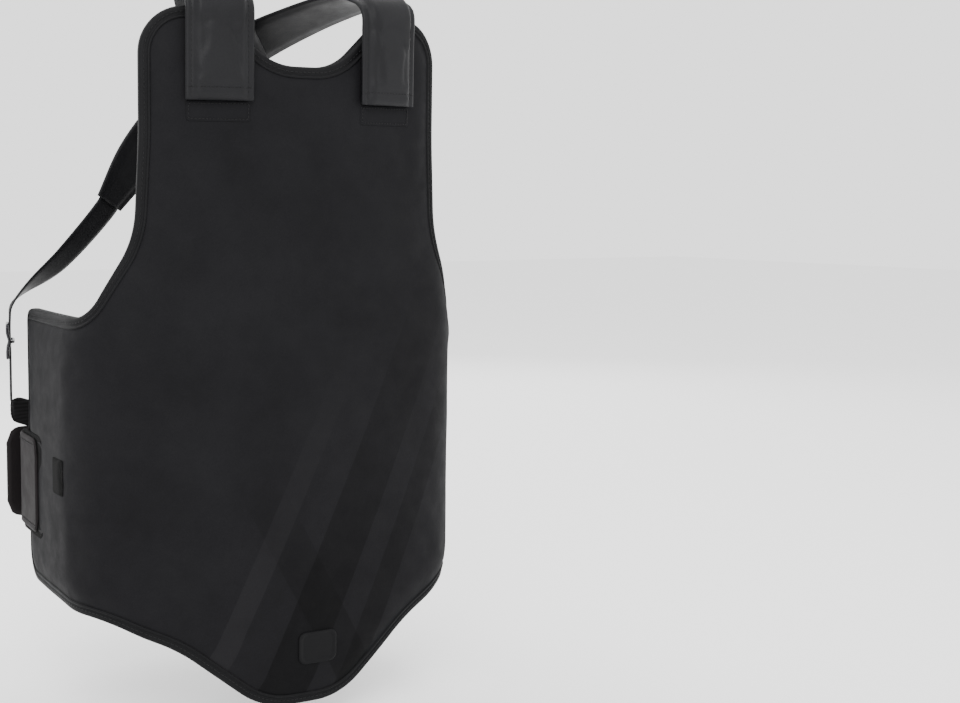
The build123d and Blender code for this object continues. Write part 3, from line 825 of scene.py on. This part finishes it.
STRAP_X, STRAP_W = 82.0, 60.0
front_y = FRONT_Y + CHEST_R - sqrt(CHEST_R**2 - STRAP_X**2)
facing = (STRAP_X / CHEST_R, -0.985, 0)
over_shoulder = [
    ((STRAP_X, front_y - 0.8, h(534)), facing, STRAP_W),
    ((STRAP_X, front_y - 1.0, h(566)), facing, STRAP_W),
    ((STRAP_X, front_y - 1.4, h(597)), facing, STRAP_W),
    ((STRAP_X, front_y - 1.4, h(611)), (0.14, -0.95, 0.3), STRAP_W),
    ((81.6, front_y + 3, h(619)), (0.05, -0.6, 0.8), STRAP_W),
    ((79.5, front_y + 16, h(624)), (0, -0.15, 1), STRAP_W),
    ((72, -68, h(626)), (0.05, 0.15, 1), STRAP_W),
]
strap_paths = {
    "left": over_shoulder + [
        ((44, -18, h(613)), (0.05, 0.4, 0.9), STRAP_W),
        ((2, 28, h(585)), (0, 0.65, 0.75), STRAP_W),
        ((-42, 57, h(537)), (-0.1, 0.8, 0.55), STRAP_W),
        ((-78, 72, h(491)), (-0.15, 0.9, 0.4), 52),
        ((-106, 80, h(447)), (-0.2, 0.95, 0.3), 32),
    ],
    "right": mirrored(over_shoulder) + [
        ((-42, -25, h(603)), (-0.05, 0.4, 0.9), STRAP_W),
        ((-2, 16, h(572)), (0, 0.65, 0.75), STRAP_W),
        ((42, 47, h(528)), (0.1, 0.8, 0.55), STRAP_W),
        ((77, 64, h(485)), (0.15, 0.9, 0.4), 52),
        ((105, 74, h(445)), (0.2, 0.95, 0.3), 32),
    ],
}
FLANGE = 5.0  # flat sewn margin along a padded strap's sides
PAD_MOST = 0.9  # how far the simulation may move a pad's skin


def padded_profile(start, end, width):
    """A padded strap's section: sewn margins with a channel, and a crowned middle."""
    half = width / 2
    full = smooth01(start / 9) * smooth01(end / 16)
    sewn = exp_dip(start, 11.5, 1.5)
    crown = 1.2 + 3.4 * full - 2.6 * sewn * full
    top = []
    for v in np.linspace(-1, 1, 33):
        inward = half * (1 - abs(v))
        margin = 4.6 if inward > 0.6 else 3.6
        channel = -0.9 * exp_dip(inward, FLANGE, 0.9)
        body = crown * smooth01((inward - FLANGE) / 7.0) + 0.5 * (1 - v * v)
        top.append((v * half, margin + channel + body * 0.92))
    under = []
    for v in np.linspace(1, -1, 17):
        inward = half * (1 - abs(v))
        lowered = 1.5 - 1.3 * smooth01((inward - 2) / 8.0)
        under.append((v * (half - 0.3), lowered + 0.6 * exp_dip(inward, FLANGE, 1.2)))
    return top + under


def exp_dip(value, at, width):
    return float(np.exp(-(((value - at) / width) ** 2)))


for side, stations in strap_paths.items():
    line = path_line(stations, 3.5)
    pad = strip(f"strap_pad_{side}", line, padded_profile, STRAP)
    settle(pad, held_strip(pad, around=50, top=33, rim=5, ends=5), PAD_MOST)
    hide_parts(f"strap_cover_{side}", f"strap_foam_{side}", f"strap_lining_{side}")
    half = line[:, 9] / 2 - FLANGE
    for word, way in (("inner", -1), ("outer", 1)):
        places, normals = row_along(line[2:-2], (half[2:-2] * way)[:, None], 4.1)
        stitches(f"strap_stitches_{side}_{word}", places, normals)
    cross = line[3]
    shape = np.array(padded_profile(10.5, 1e3, STRAP_W))[:33]
    high = lambda v: np.interp(v, shape[:, 0], shape[:, 1])
    spread = np.linspace(-27, 27, 19)
    ends = np.array([cross[:3] + cross[6:9] * v + cross[3:6] * (high(v) + 0.05) for v in spread])
    stitches(f"strap_end_stitches_{side}", ends, np.tile(cross[3:6], (19, 1)), 3.4, 2.4)

# ---- narrow straps, webbing and slide buckles ------------------------------------------------
NARROW = 26.0
narrow_paths = {
    "right": [
        ((-103, 82.4, h(453)), (-0.2, 0.95, 0.3), NARROW),
        ((-109, 84, h(443)), (-0.22, 0.95, 0.3), NARROW),
        ((-150, 93, h(395)), (-0.5, 0.85, 0.2), NARROW),
        ((-195, 108, h(352)), (-0.95, 0.3, 0.0), NARROW),
        ((-197, 109, h(338)), (-0.95, 0.3, 0.0), NARROW),
        ((-197, 109, h(300)), (-0.95, 0.3, 0.0), NARROW),
        ((-197, 109, h(262)), (-0.95, 0.3, 0.0), NARROW),
    ],
    "left": [
        ((102, 76.4, h(451)), (0.2, 0.95, 0.3), NARROW),
        ((108, 78, h(442)), (0.22, 0.95, 0.3), NARROW),
        ((145, 76, h(400)), (0.5, 0.85, 0.25), NARROW),
        ((180, 68, h(362)), (0.85, 0.5, 0.15), NARROW),
        ((185, 64, h(346)), (0.87, 0.5, 0.0), NARROW),
        ((185, 64, h(308)), (0.87, 0.5, 0.0), NARROW),
        ((185, 64, h(270)), (0.87, 0.5, 0.0), NARROW),
    ],
}
webbing_paths = {
    "right": [
        ((-197, 109, h(261.6)), (-0.95, 0.3, 0), 25),
        ((-197, 109, h(256.6)), (-0.95, 0.3, 0), 25),
        ((-194.5, 110.4, h(252.6)), (-0.85, 0.5, 0), 25),
        ((-186, 112.5, h(249)), (-0.6, 0.8, 0), 25),
        ((-170, 113, h(243)), (-0.15, 1, 0), 25),
        ((-156, 112, h(234)), (0, 1, 0), 25),
        ((-148, 110.5, h(220)), (0, 1, 0), 25),
        ((-145, 109.5, h(200)), (0, 1, 0), 25),
        ((-144, 109.5, h(165)), (0, 1, 0), 25),
    ],
    "left": [
        ((185, 64, h(270)), (0.87, 0.5, 0), 25),
        ((184.6, 65, h(264)), (0.87, 0.5, 0), 25),
        ((170, 86, h(258)), (0.75, 0.65, 0), 25),
        ((140, 100, h(240)), (0.3, 0.95, 0), 25),
        ((112, 97, h(212)), (0.1, 1, 0), 25),
        ((98, 98, h(182)), (0, 1, 0), 25),
    ],
}


def flat_profile(thickness, bead=0.0, at=4.0):
    """A flat strip's section, with a rounded edge and a raised bead near each side."""

    def profile(start, end, width):
        half = width / 2
        top = []
        for v in np.linspace(-1, 1, 21):
            inward = half * (1 - abs(v))
            edge_drop = 0.45 * thickness * (1 - smooth01(inward / 1.2))
            top.append((v * half, thickness - edge_drop + bead * exp_dip(inward, at * 0.5, at * 0.22)))
        under = []
        for v in np.linspace(1, -1, 9):
            inward = half * (1 - abs(v))
            under.append((v * half, 0.45 * thickness * (1 - smooth01(inward / 1.2))))
        return top + under

    return profile


def zigzag(name, line, across, height, pitch=2.6, swing=1.5):
    """A dense zigzag seam along a strip, one slanting thread after another."""
    places, normals = row_along(line, across, height)
    fine = resample(np.hstack([places, normals, line[:, 6:9]]), pitch)
    sway = np.where(np.arange(len(fine)) % 2, swing, -swing)[:, None]
    points = fine[:, :3] + unit(fine[:, 6:9]) * sway
    mids = (points[:-1] + points[1:]) / 2
    way = points[1:] - points[:-1]
    lengths = float(np.linalg.norm(way, axis=1).mean())
    stitch_marks(name, mids, unit(fine[:-1, 3:6]), unit(way), lengths, 0.36, 0.12)


for side in ("left", "right"):
    line = path_line(narrow_paths[side], 3.0)
    narrow = strip(f"narrow_strap_{side}", line, flat_profile(1.8, 0.5, 5.0), STRAP)
    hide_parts(f"adjuster_strap_{side}")
    for word, way in (("a", -1), ("b", 1)):
        zigzag(f"narrow_zigzag_{side}_{word}", line[1:-1], way * 9.6, 2.0)
    box = line[3]
    corners = [(-9, 0), (9, 0), (9, 7), (-9, 7), (-9, 0)]
    along = unit(line[4, :3] - line[2, :3])
    tack = np.array([box[:3] + box[6:9] * a + along * (b - 6) + box[3:6] * 2.2 for a, b in corners])
    fine = resample(np.hstack([tack, np.tile(box[3:6], (5, 1))]), 2.4)
    way = unit(np.diff(fine[:, :3], axis=0))
    stitch_marks(f"narrow_bar_tack_{side}", fine[:-1, :3], fine[:-1, 3:], way, 2.2, 0.4, 0.1)

    web = path_line(webbing_paths[side], 3.0)
    tape = strip(f"webbing_{side}", web, flat_profile(1.7), WEBBING)
    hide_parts(f"anchor_webbing_{side}")
    for word, way in (("a", -1), ("b", 1)):
        zigzag(f"webbing_zigzag_{side}_{word}", web[1:-1], way * 9.8, 1.8, 2.2, 1.2)


def rod(name, points, radius, material, body="root", sides=12, closed=False):
    """A round bar bent along points."""
    points = np.asarray(points, float)
    along = unit(np.roll(points, -1, 0) - np.roll(points, 1, 0)) if closed else tangents(points)
    first = np.cross(along[0], (0.3, 0.9, 0.2))
    rings, side = [], unit(first)
    for place, way in zip(points, along):
        side = unit(side - way * (side @ way))
        up = np.cross(way, side)
        turns = np.linspace(0, 2 * pi, sides, endpoint=False)
        rings.append([place + (side * cos(t) + up * sin(t)) * radius for t in turns])
    faces = skin_faces(len(points), sides, closed, caps=not closed)
    piece = mesh_piece(name, np.vstack(rings), faces, material, body)
    tidy_normals(piece)
    return piece


SLIDE_LENGTH, SLIDE_WIDTH, SLIDE_BAR = 34.0, 36.0, 3.0
for side, middle in (("right", h(318)), ("left", h(326))):
    (x, y, _), outward, _ = narrow_paths[side][-1]
    normal = unit(np.array(outward))
    down = np.array([0.0, 0.0, -1.0])
    across = np.cross(normal, down)
    hub = np.array([x, y, middle])
    outer = 1.8 + 0.4 + SLIDE_BAR / 2
    inner = -0.4 - SLIDE_BAR / 2
    reach = (SLIDE_WIDTH - SLIDE_BAR) / 2
    ends = (SLIDE_LENGTH - SLIDE_BAR) / 2
    body = f"slide_{side}"
    ring = rectangle(reach, ends, 3, 1.5)
    sink = [outer - 0.35 * (outer - inner) * (1 - smooth01(abs(b) / ends * 1.6)) for a, b in ring]
    loop = [hub + across * a + down * b + normal * w for (a, b), w in zip(ring, sink)]
    frame_bar = rod(f"slide_frame_{side}", loop, 1.45, METAL, body, closed=True)
    bar_line = [
        (-reach, outer - 2.4), (-reach + 1.2, 0.4), (-reach + 2.6, inner + 0.1), (0, inner),
        (reach - 2.6, inner + 0.1), (reach - 1.2, 0.4), (reach, outer - 2.4),
    ]
    bar = [hub + across * a + normal * w for a, w in bar_line]
    cross_bar = rod(f"slide_cross_bar_{side}", bar, 1.4, METAL, body)
    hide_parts(f"slide_buckle_{side}")

# ---- the belt ---------------------------------------------------------------------------------
BELT_W, UNDER, OUTER_T, FOLD_R, WRAP_R = 88.0, 3.5, 4.0, 3.2, 24.0
RING_X = (96.0, 118.0)
BELT_LOW, BELT_HIGH, BOW = 134.0, 188.0, radians(5)
right_hub = np.array([-WIDEST + WING_R[-1], SIDE_Y])
left_hub = np.array([WIDEST - WING_R[1], SIDE_Y])
right_turn = WING / WING_R[-1]
corner = right_hub + (WING_R[-1] - WRAP_R) * np.array([-cos(right_turn), sin(right_turn)])
bow_start = corner + WRAP_R * np.array([-sin(BOW), cos(BOW)])
bow_r = (RING_X[0] - bow_start[0]) / (2 * sin(BOW))
bow_hub = bow_start - bow_r * np.array([-sin(BOW), cos(BOW)])
bar_y = bow_hub[1] + bow_r * cos(BOW) + UNDER + FOLD_R


def belt_height(x):
    """Height of the belt's middle: level at its root, then falling to the ring."""
    return h(np.interp(x, [-150, 60, 116], [BELT_HIGH, BELT_LOW + 1, BELT_LOW]))


def plan_row(x, y, nx, ny, width=BELT_W):
    """A strip row on an upright surface, belt height, outward normal in plan."""
    return [x, y, float(belt_height(x)), nx, ny, 0, 0, 0, 1, width]


def soften(line, reach=9):
    """The same rows with the bends in their height eased."""
    line = line.copy()
    z = line[:, 2]
    kernel = np.ones(reach) / reach
    line[:, 2] = np.convolve(np.pad(z, reach // 2, mode="edge"), kernel, mode="valid")
    return line


def bow_rows(level, x0, x1, step=4.0, width=BELT_W):
    count = max(3, int(abs(x1 - x0) / step))
    rows = []
    for x in np.linspace(x0, x1, count):
        a = np.arcsin((x - bow_hub[0]) / (bow_r + level))
        rows.append(plan_row(x, bow_hub[1] + (bow_r + level) * cos(a), sin(a), cos(a), width))
    return rows


def right_wing_rows(level, before_tip, width=BELT_W):
    rows = []
    for a in np.linspace(right_turn - before_tip / WING_R[-1], right_turn, 14)[:-1]:
        x, y = right_hub + (WING_R[-1] + level) * np.array([-cos(a), sin(a)])
        rows.append(plan_row(x, y, -cos(a), sin(a), width))
    for a in np.linspace(right_turn, pi / 2 - BOW, 14)[:-1]:
        x, y = corner + (WRAP_R + level) * np.array([-cos(a), sin(a)])
        rows.append(plan_row(x, y, -cos(a), sin(a), width))
    return rows


def belt_profile(thickness, puff=0.0, tip=0.0, root=0.0):
    """A belt layer's section: a bound margin with two low ridges each side, and rounded
    corners at its end where tip is over zero."""

    def profile(start, end, width):
        half = width / 2
        if tip:
            half -= tip - sqrt(max(tip**2 - max(tip - end, 0) ** 2, 0))
        if root:
            half -= root - sqrt(max(root**2 - max(root - start, 0) ** 2, 0))
        fade = smooth01(min(start, end) / 8)
        top = []
        for v in np.linspace(-1, 1, 45):
            inward = half * (1 - abs(v))
            rim = 0.42 * thickness * (1 - smooth01(inward / 1.3))
            ridge = 0.45 * exp_dip(inward, 3.0, 1.1) - 0.5 * exp_dip(inward, 6.2, 0.9)
            body = puff * smooth01((inward - 6) / 9) * fade
            top.append((v * half, thickness - 0.4 - rim + ridge + body))
        under = []
        for v in np.linspace(1, -1, 17):
            inward = half * (1 - abs(v))
            under.append((v * half, 0.42 * thickness * (1 - smooth01(inward / 1.3))))
        return top + under

    return profile


ROOT_LENGTH = 52.0
under_rows = right_wing_rows(0.4, ROOT_LENGTH) + bow_rows(0.4, bow_start[0] + 2, RING_X[0] - 2)
under_line = soften(np.array(under_rows))
under_layer = strip("belt_inner_layer", under_line, belt_profile(3.0, 0.0, 0.0, 10.0), BELT)
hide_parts("belt_under_layer")
for word, way in (("top", 1), ("bottom", -1)):
    places, normals = row_along(under_line[1:-1], way * (BELT_W / 2 - 6.2), 2.7)
    stitches(f"belt_inner_stitches_{word}", places, normals)

# The outer layer: round the ring's bar and back over the inner layer to its rounded tip.
free_level = UNDER + 2 * FOLD_R
TIP_X, HINGE_X = -198.0, RING_X[0] - 16.0
fold_rows = []
for a in np.linspace(-pi / 2, pi / 2, 15):
    x, y = RING_X[0] + FOLD_R * cos(a), bar_y + FOLD_R * sin(a)
    fold_rows.append(plan_row(x, y, cos(a), sin(a)))
outer_line = soften(np.array(fold_rows + bow_rows(free_level, RING_X[0] - 2, TIP_X)))
outer_line[:15, 2] = outer_line[14, 2]
outer_layer = strip("belt_outer_layer", outer_line, belt_profile(3.6, 0.5, 14.0), BELT)
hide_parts("belt_free_end")
flexing = [outer_layer]
for word, way in (("top", 1), ("bottom", -1)):
    places, normals = row_along(outer_line[14:-4], way * (BELT_W / 2 - 6.2), 3.2)
    flexing.append(stitches(f"belt_outer_stitches_{word}", places, normals, body=None))
tip_row = outer_line[-3]
tip_spread = np.linspace(-32, 32, 9)
tip_marks = np.array([tip_row[:3] + tip_row[6:9] * v + tip_row[3:6] * 3.4 for v in tip_spread])
stitches("belt_tip_stitches", tip_marks, np.tile(tip_row[3:6], (9, 1)), body="peeling_end")


def bow_patch(name, level, x0, x1, width, thickness, material, body, corner_r=4.0):
    """A thin rectangle on the belt's gentle arc."""
    line = soften(np.array(bow_rows(level, x0, x1, 3.0, width)), 5)
    return strip(name, line, belt_patch_profile(thickness, corner_r), material, body)


def belt_patch_profile(thickness, corner_r):
    def profile(start, end, width):
        near = min(start, end)
        half = width / 2 - (corner_r - sqrt(max(corner_r**2 - max(corner_r - near, 0) ** 2, 0)))
        top = [(v * half, thickness) for v in np.linspace(-1, 1, 9)]
        return top + [(v * half, 0.0) for v in np.linspace(1, -1, 5)]

    return profile


loop = bow_patch("loop_patch", UNDER + 0.1, -150, HINGE_X - 25, 70, 2.2, LOOP, "root")
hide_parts("loop_panel")
hook = bow_patch("hook_patch", free_level - 2.6, -165, -60, 66, 2.4, HOOK, "peeling_end")
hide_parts("hook_panel")
label_level = free_level + OUTER_T + 0.25
label = bow_patch("side_label", label_level, -188, -180, 24, 0.5, LABEL, "peeling_end", 0.8)
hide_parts("belt_label")

root_patch_line = np.array(right_wing_rows(0.05, ROOT_LENGTH + 12, 96.0))[:14]
patch_piece = strip("belt_root_base", root_patch_line, belt_profile(1.0, 0, 0, 3.0), LOOP)
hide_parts("belt_root_patch")
for piece in flexing:
    piece.parent = None
    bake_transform(piece)

# ---- the ring's anchor on the left wing, its tab, and the pad behind ----------------------------
ANCHOR_LENGTH, ANCHOR_H = 56.0, 92.0
bar = np.array([RING_X[1], bar_y])


def on_left(level, before_tip):
    a = (WING - before_tip) / WING_R[1]
    return left_hub + (WING_R[1] + level) * np.array([cos(a), sin(a)]), np.array([cos(a), sin(a)])


def upright_row(place, normal, middle, width):
    return [place[0], place[1], middle, normal[0], normal[1], 0, 0, 0, -1, width]


def left_rows(level, start, end, middle, width, count=16):
    return [upright_row(*on_left(level, b), middle, width) for b in np.linspace(start, end, count)]


tip_place, tip_normal = on_left(0.5, 0)
to_bar = unit(bar - tip_place)
out_normal = np.array([-to_bar[1], to_bar[0]])
out_normal = out_normal if out_normal @ tip_normal > 0 else -out_normal
anchor_rows = left_rows(0.5, ANCHOR_LENGTH, 3, h(BELT_LOW), ANCHOR_H)
for share in np.linspace(0.12, 0.93, 9):
    blend_normal = unit(tip_normal * (1 - share) + out_normal * share)
    place = tip_place * (1 - share) + (bar + out_normal * 1.2) * share
    anchor_rows.append(upright_row(place, blend_normal, h(BELT_LOW), ANCHOR_H))
anchor_line = np.array(anchor_rows)
anchor = strip("ring_anchor", anchor_line, belt_profile(3.4, 0.3, 0.0, 2.0), BELT)
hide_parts("belt_anchor")

# The rolled loop that holds the ring's near bar.
roll = []
for a in np.linspace(0, 2 * pi, 28, endpoint=False):
    roll.append(bar + 5.2 * np.array([cos(a), sin(a)]))
inner_roll = [bar + 2.5 * unit(p - bar) for p in roll]


def upright_tube(name, outside, inside, low, high, material):
    """An upright open tube with thick walls."""
    n = len(outside)
    points = [[p[0], p[1], z] for z in (low, high) for ring in (outside, inside) for p in ring]
    faces = []
    for k in range(n):
        m = (k + 1) % n
        faces += [(k, m, 2 * n + m, 2 * n + k), (n + m, n + k, 3 * n + k, 3 * n + m)]
        faces += [(m, k, n + k, n + m), (2 * n + k, 2 * n + m, 3 * n + m, 3 * n + k)]
    piece = mesh_piece(name, points, faces, material)
    tidy_normals(piece)
    return piece


roll_ends = h(BELT_LOW - 45.5), h(BELT_LOW + 45.5)
anchor_roll = upright_tube("ring_anchor_roll", roll, inner_roll, *roll_ends, BELT)


def stitched_line(name, line, ends, height, pitch=4.2):
    """Stitches along a straight line across a strip, between (row share, across) ends."""
    rows = []
    steps = np.r_[0, np.cumsum(np.linalg.norm(np.diff(line[:, :3], axis=0), axis=1))]
    for share in np.linspace(0, 1, 24):
        along = (ends[0][0] * (1 - share) + ends[1][0] * share) * steps[-1]
        at = np.interp(along, steps, np.arange(len(line)))
        low = int(min(at, len(line) - 2))
        row = line[low] * (1 - (at - low)) + line[low + 1] * (at - low)
        offset = ends[0][1] * (1 - share) + ends[1][1] * share
        rows.append(np.r_[row[:3] + row[6:9] * offset + row[3:6] * height, row[3:6]])
    rows = np.array(rows)
    stitches(name, rows[:, :3], rows[:, 3:], pitch)


# The box-X: corners as (share of the anchor's length, across it).
BOX_HALF = 36.0
near_low, near_high, far_low, far_high = ((a, b) for a in (0.10, 0.72) for b in (-BOX_HALF, BOX_HALF))
for word, *box_ends in (
    ("box_a", near_low, near_high),
    ("box_b", far_low, far_high),
    ("box_c", near_high, far_high),
    ("box_d", near_low, far_low),
    ("cross_a", near_low, far_high),
    ("cross_b", near_high, far_low),
):
    stitched_line(f"anchor_{word}", anchor_line, box_ends, 3.5)
stitched_line("anchor_start", anchor_line, ((0.03, -40), (0.03, 40)), 3.3)

tab_line = np.array(left_rows(0.05, ANCHOR_LENGTH + 11, ANCHOR_LENGTH + 0.5, h(BELT_LOW), 86.0, 8))
tab = strip("ring_anchor_tab", tab_line, belt_patch_profile(1.2, 2.0), BELT)
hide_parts("belt_anchor_tab")
stitched_line("anchor_tab_stitches", tab_line, ((0.4, -40), (0.4, 40)), 1.3)

buckle_rows = left_rows(0.05, 92, 40, h(241), 38.0, 16)
buckle_line = np.array(buckle_rows)
buckle_line[:, 2] += np.linspace(-6, 16, len(buckle_line))
buckle_line[:, 9] = np.linspace(34, 28, len(buckle_line))
buckle_piece = strip("buckle_base_tab", buckle_line, belt_patch_profile(1.1, 2.0), BELT)
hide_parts("buckle_tab_left")
for word, *tab_ends in (
    ("a", (0.05, -13), (0.05, 13)), ("b", (0.05, 12), (0.95, 11)), ("c", (0.05, -13), (0.95, -11)),
):
    stitched_line(f"buckle_tab_stitches_{word}", buckle_line, tab_ends, 1.2)

pad_stations = [(145, 81.5), (139, 88.5), (132, 95), (119, 102.8), (106, 108), (89, 110.6), (72, 112.5)]
pad_points = catmull([[x, y, 0] for x, y in pad_stations], 3.5)
pad_along = unit(np.gradient(pad_points[:, :2], axis=0))
PAD_H = 112.0
pad_rows = [
    upright_row(p[:2], (t[1], -t[0]), h(BELT_LOW), PAD_H) for p, t in zip(pad_points, pad_along)
]
pad_line = np.array(pad_rows)
pad_line[:, 3:5] *= np.where((pad_line[:, 3:5] @ [0.4, 1.0]) < 0, -1, 1)[:, None]


def pad_profile(start, end, width):
    """The padded flap: crowned both sides, with a bound edge and a rounded far end."""
    half = width / 2 - (22 - sqrt(max(22**2 - max(22 - end, 0) ** 2, 0)))
    full = smooth01(end / 14)
    top, under = [], []
    for v in np.linspace(-1, 1, 41):
        inward = half * (1 - abs(v))
        body = 3.2 * smooth01((inward - 5) / 10) * full
        bead = 0.6 * exp_dip(inward, 2.0, 1.4)
        rim = 1.4 * (1 - smooth01(inward / 1.6))
        top.append((v * half, 1.6 + body + bead - rim))
        under.append((-v * half, -1.2 - body * 0.5 - bead + rim * 0.8))
    return top + under


pad = strip("ring_back_pad", pad_line, pad_profile, LINING)
settle(pad, held_strip(pad, around=82, top=41, rim=5, ends=4), PAD_MOST)
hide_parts("belt_backing_pad")

# ---- badge and strap base patches ----------------------------------------------------------------
def chest_plate(name, x, z, size, proud, corner_r, material, lip=0.0):
    """A soft-cornered plate on the chest, its edge rounded over, with a raised lip if asked."""
    rim = rectangle(size[0] / 2, size[1] / 2, corner_r, 1.2)
    levels = [  # (in from the rim, share of its height)
        (0.0, 0.0), (0.0, 0.55), (0.35, 0.9), (1.0, 1.0), (1.9, 1.0), (2.5, 1.0 - lip),
        (4.0, 1.0 - lip),
    ]
    s0 = CHEST_R * np.arcsin(x / CHEST_R)
    rings = []
    for inset_by, share in levels:
        ring = rim * (1 - inset_by / np.abs(rim).max(0).min())
        flat = np.c_[s0 + ring[:, 0], z + ring[:, 1]]
        depth = face_depth(flat, to_edge(flat)) + 0.2 - proud * share
        rings.append(on_panel(flat[:, 0], flat[:, 1], depth))
    count = len(rim)
    faces = skin_faces(len(rings), count)
    faces.append(tuple((len(rings) - 1) * count + k for k in range(count)))
    faces.append(tuple(range(count))[::-1])
    piece = mesh_piece(name, np.vstack(rings), faces, material)
    tidy_normals(piece)
    return piece


badge = chest_plate("plain_badge", 12.0, h(52), (39, 29), 1.6, 7, BADGE, 0.35)
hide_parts("badge")
for side, word in ((1, "left"), (-1, "right")):
    patch = chest_plate(f"strap_base_{word}", side * STRAP_X, h(533.5 - 8.5), (56, 17), 0.9, 2, COVER)
    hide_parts(f"strap_base_patch_{word}")
    rim = rectangle(26, 6.5, 1, 2.0)
    s0 = CHEST_R * np.arcsin(STRAP_X / CHEST_R) * side
    flat = np.c_[s0 + rim[:, 0], h(525) + rim[:, 1]]
    line = on_panel(flat[:, 0], flat[:, 1], face_depth(flat, to_edge(flat)) - 0.75)
    stitches(f"strap_base_stitches_{word}", line, panel_normal(flat[:, 0]), 3.2, 2.3, closed=True)

# A small square of loop tape on the right wing, where the belt's end can be parked.
wing_s = -(SIDE_S + 10.0)
rim = rectangle(13, 16, 2, 1.5)
flat = rim + [wing_s, h(208)]
depth = face_depth(flat, to_edge(flat))
outer = on_panel(flat[:, 0], flat[:, 1], depth - 1.1)
inner = on_panel(flat[:, 0], flat[:, 1], depth + 0.3)
count = len(rim)
sides = [(k, (k + 1) % count, (k + 1) % count + count, k + count) for k in range(count)]
ends = [tuple(range(count)), tuple(range(count, 2 * count))[::-1]]
park = mesh_piece("wing_loop_patch", np.vstack([outer, inner]), sides + ends, LOOP)
tidy_normals(park)

# ---- the ring keeps its CAD shape, with a plated finish -------------------------------------------
ring_node = frame["nodes"]["belt_ring"]
for material_slot in ring_node.material_slots:
    material_slot.material = METAL

# ---- camera, light and floor ------------------------------------------------------------------
def aim(obj, target):
    obj.rotation_mode = "QUATERNION"
    obj.rotation_quaternion = (Vector(target) - obj.location).to_track_quat("-Z", "Y")


AZIMUTH, ELEVATION, DISTANCE = radians(-27), radians(6), 1.35
VIEW_WIDTH = 0.8976  # metres seen across the picture at the target
target = Vector((0.0, -0.02, 0.155))
back = Vector((sin(AZIMUTH) * cos(ELEVATION), -cos(AZIMUTH) * cos(ELEVATION), sin(ELEVATION)))
camera = bpy.data.objects.new("camera", bpy.data.cameras.new("camera"))
bpy.context.scene.collection.objects.link(camera)
camera.location = target + back * DISTANCE
aim(camera, target)
camera.data.sensor_width = 36.0
camera.data.lens = camera.data.sensor_width * DISTANCE / VIEW_WIDTH
camera.data.shift_x = 0.232
bpy.context.scene.camera = camera


def area_light(name, place, target, size, power):
    light = bpy.data.objects.new(name, bpy.data.lights.new(name, "AREA"))
    light.data.shape = "RECTANGLE"
    light.data.size, light.data.size_y = size
    light.data.energy = power
    light.location = place
    bpy.context.scene.collection.objects.link(light)
    aim(light, target)


centre = (0, 0, 0.15)
area_light("key", (-1.3, -2.0, 1.7), centre, (1.6, 1.6), 52)
area_light("fill", (1.9, -1.6, 0.9), centre, (1.4, 2.0), 6)
area_light("top", (0.0, 0.3, 2.4), centre, (2.2, 2.2), 34)
area_light("rear_left", (-1.5, 1.9, 1.3), centre, (1.4, 1.6), 16)
area_light("rear_right", (1.6, 2.0, 1.2), centre, (1.4, 1.6), 16)

world = bpy.data.worlds.new("studio")
world.use_nodes = True
world.node_tree.nodes["Background"].inputs["Color"].default_value = (1, 1, 1, 1)
world.node_tree.nodes["Background"].inputs["Strength"].default_value = 1.9
bpy.context.scene.world = world

FLOOR_Z, FLOOR_HALF = -0.175, 8
floor_signs = ((-1, -1), (1, -1), (1, 1), (-1, 1))
floor_corners = [(FLOOR_HALF * a, FLOOR_HALF * b, FLOOR_Z) for a, b in floor_signs]
floor_mesh = bpy.data.meshes.new("floor")
floor_mesh.from_pydata(floor_corners, [], [(0, 1, 2, 3)])
pale = Shader("pale_floor")
pale.bsdf.inputs["Base Color"].default_value = (0.93, 0.93, 0.93, 1)
pale.set(Roughness=1.0, Specular_IOR_Level=0.0)
floor_mesh.materials.append(pale.material)
floor = bpy.data.objects.new("floor", floor_mesh)
bpy.context.scene.collection.objects.link(floor)
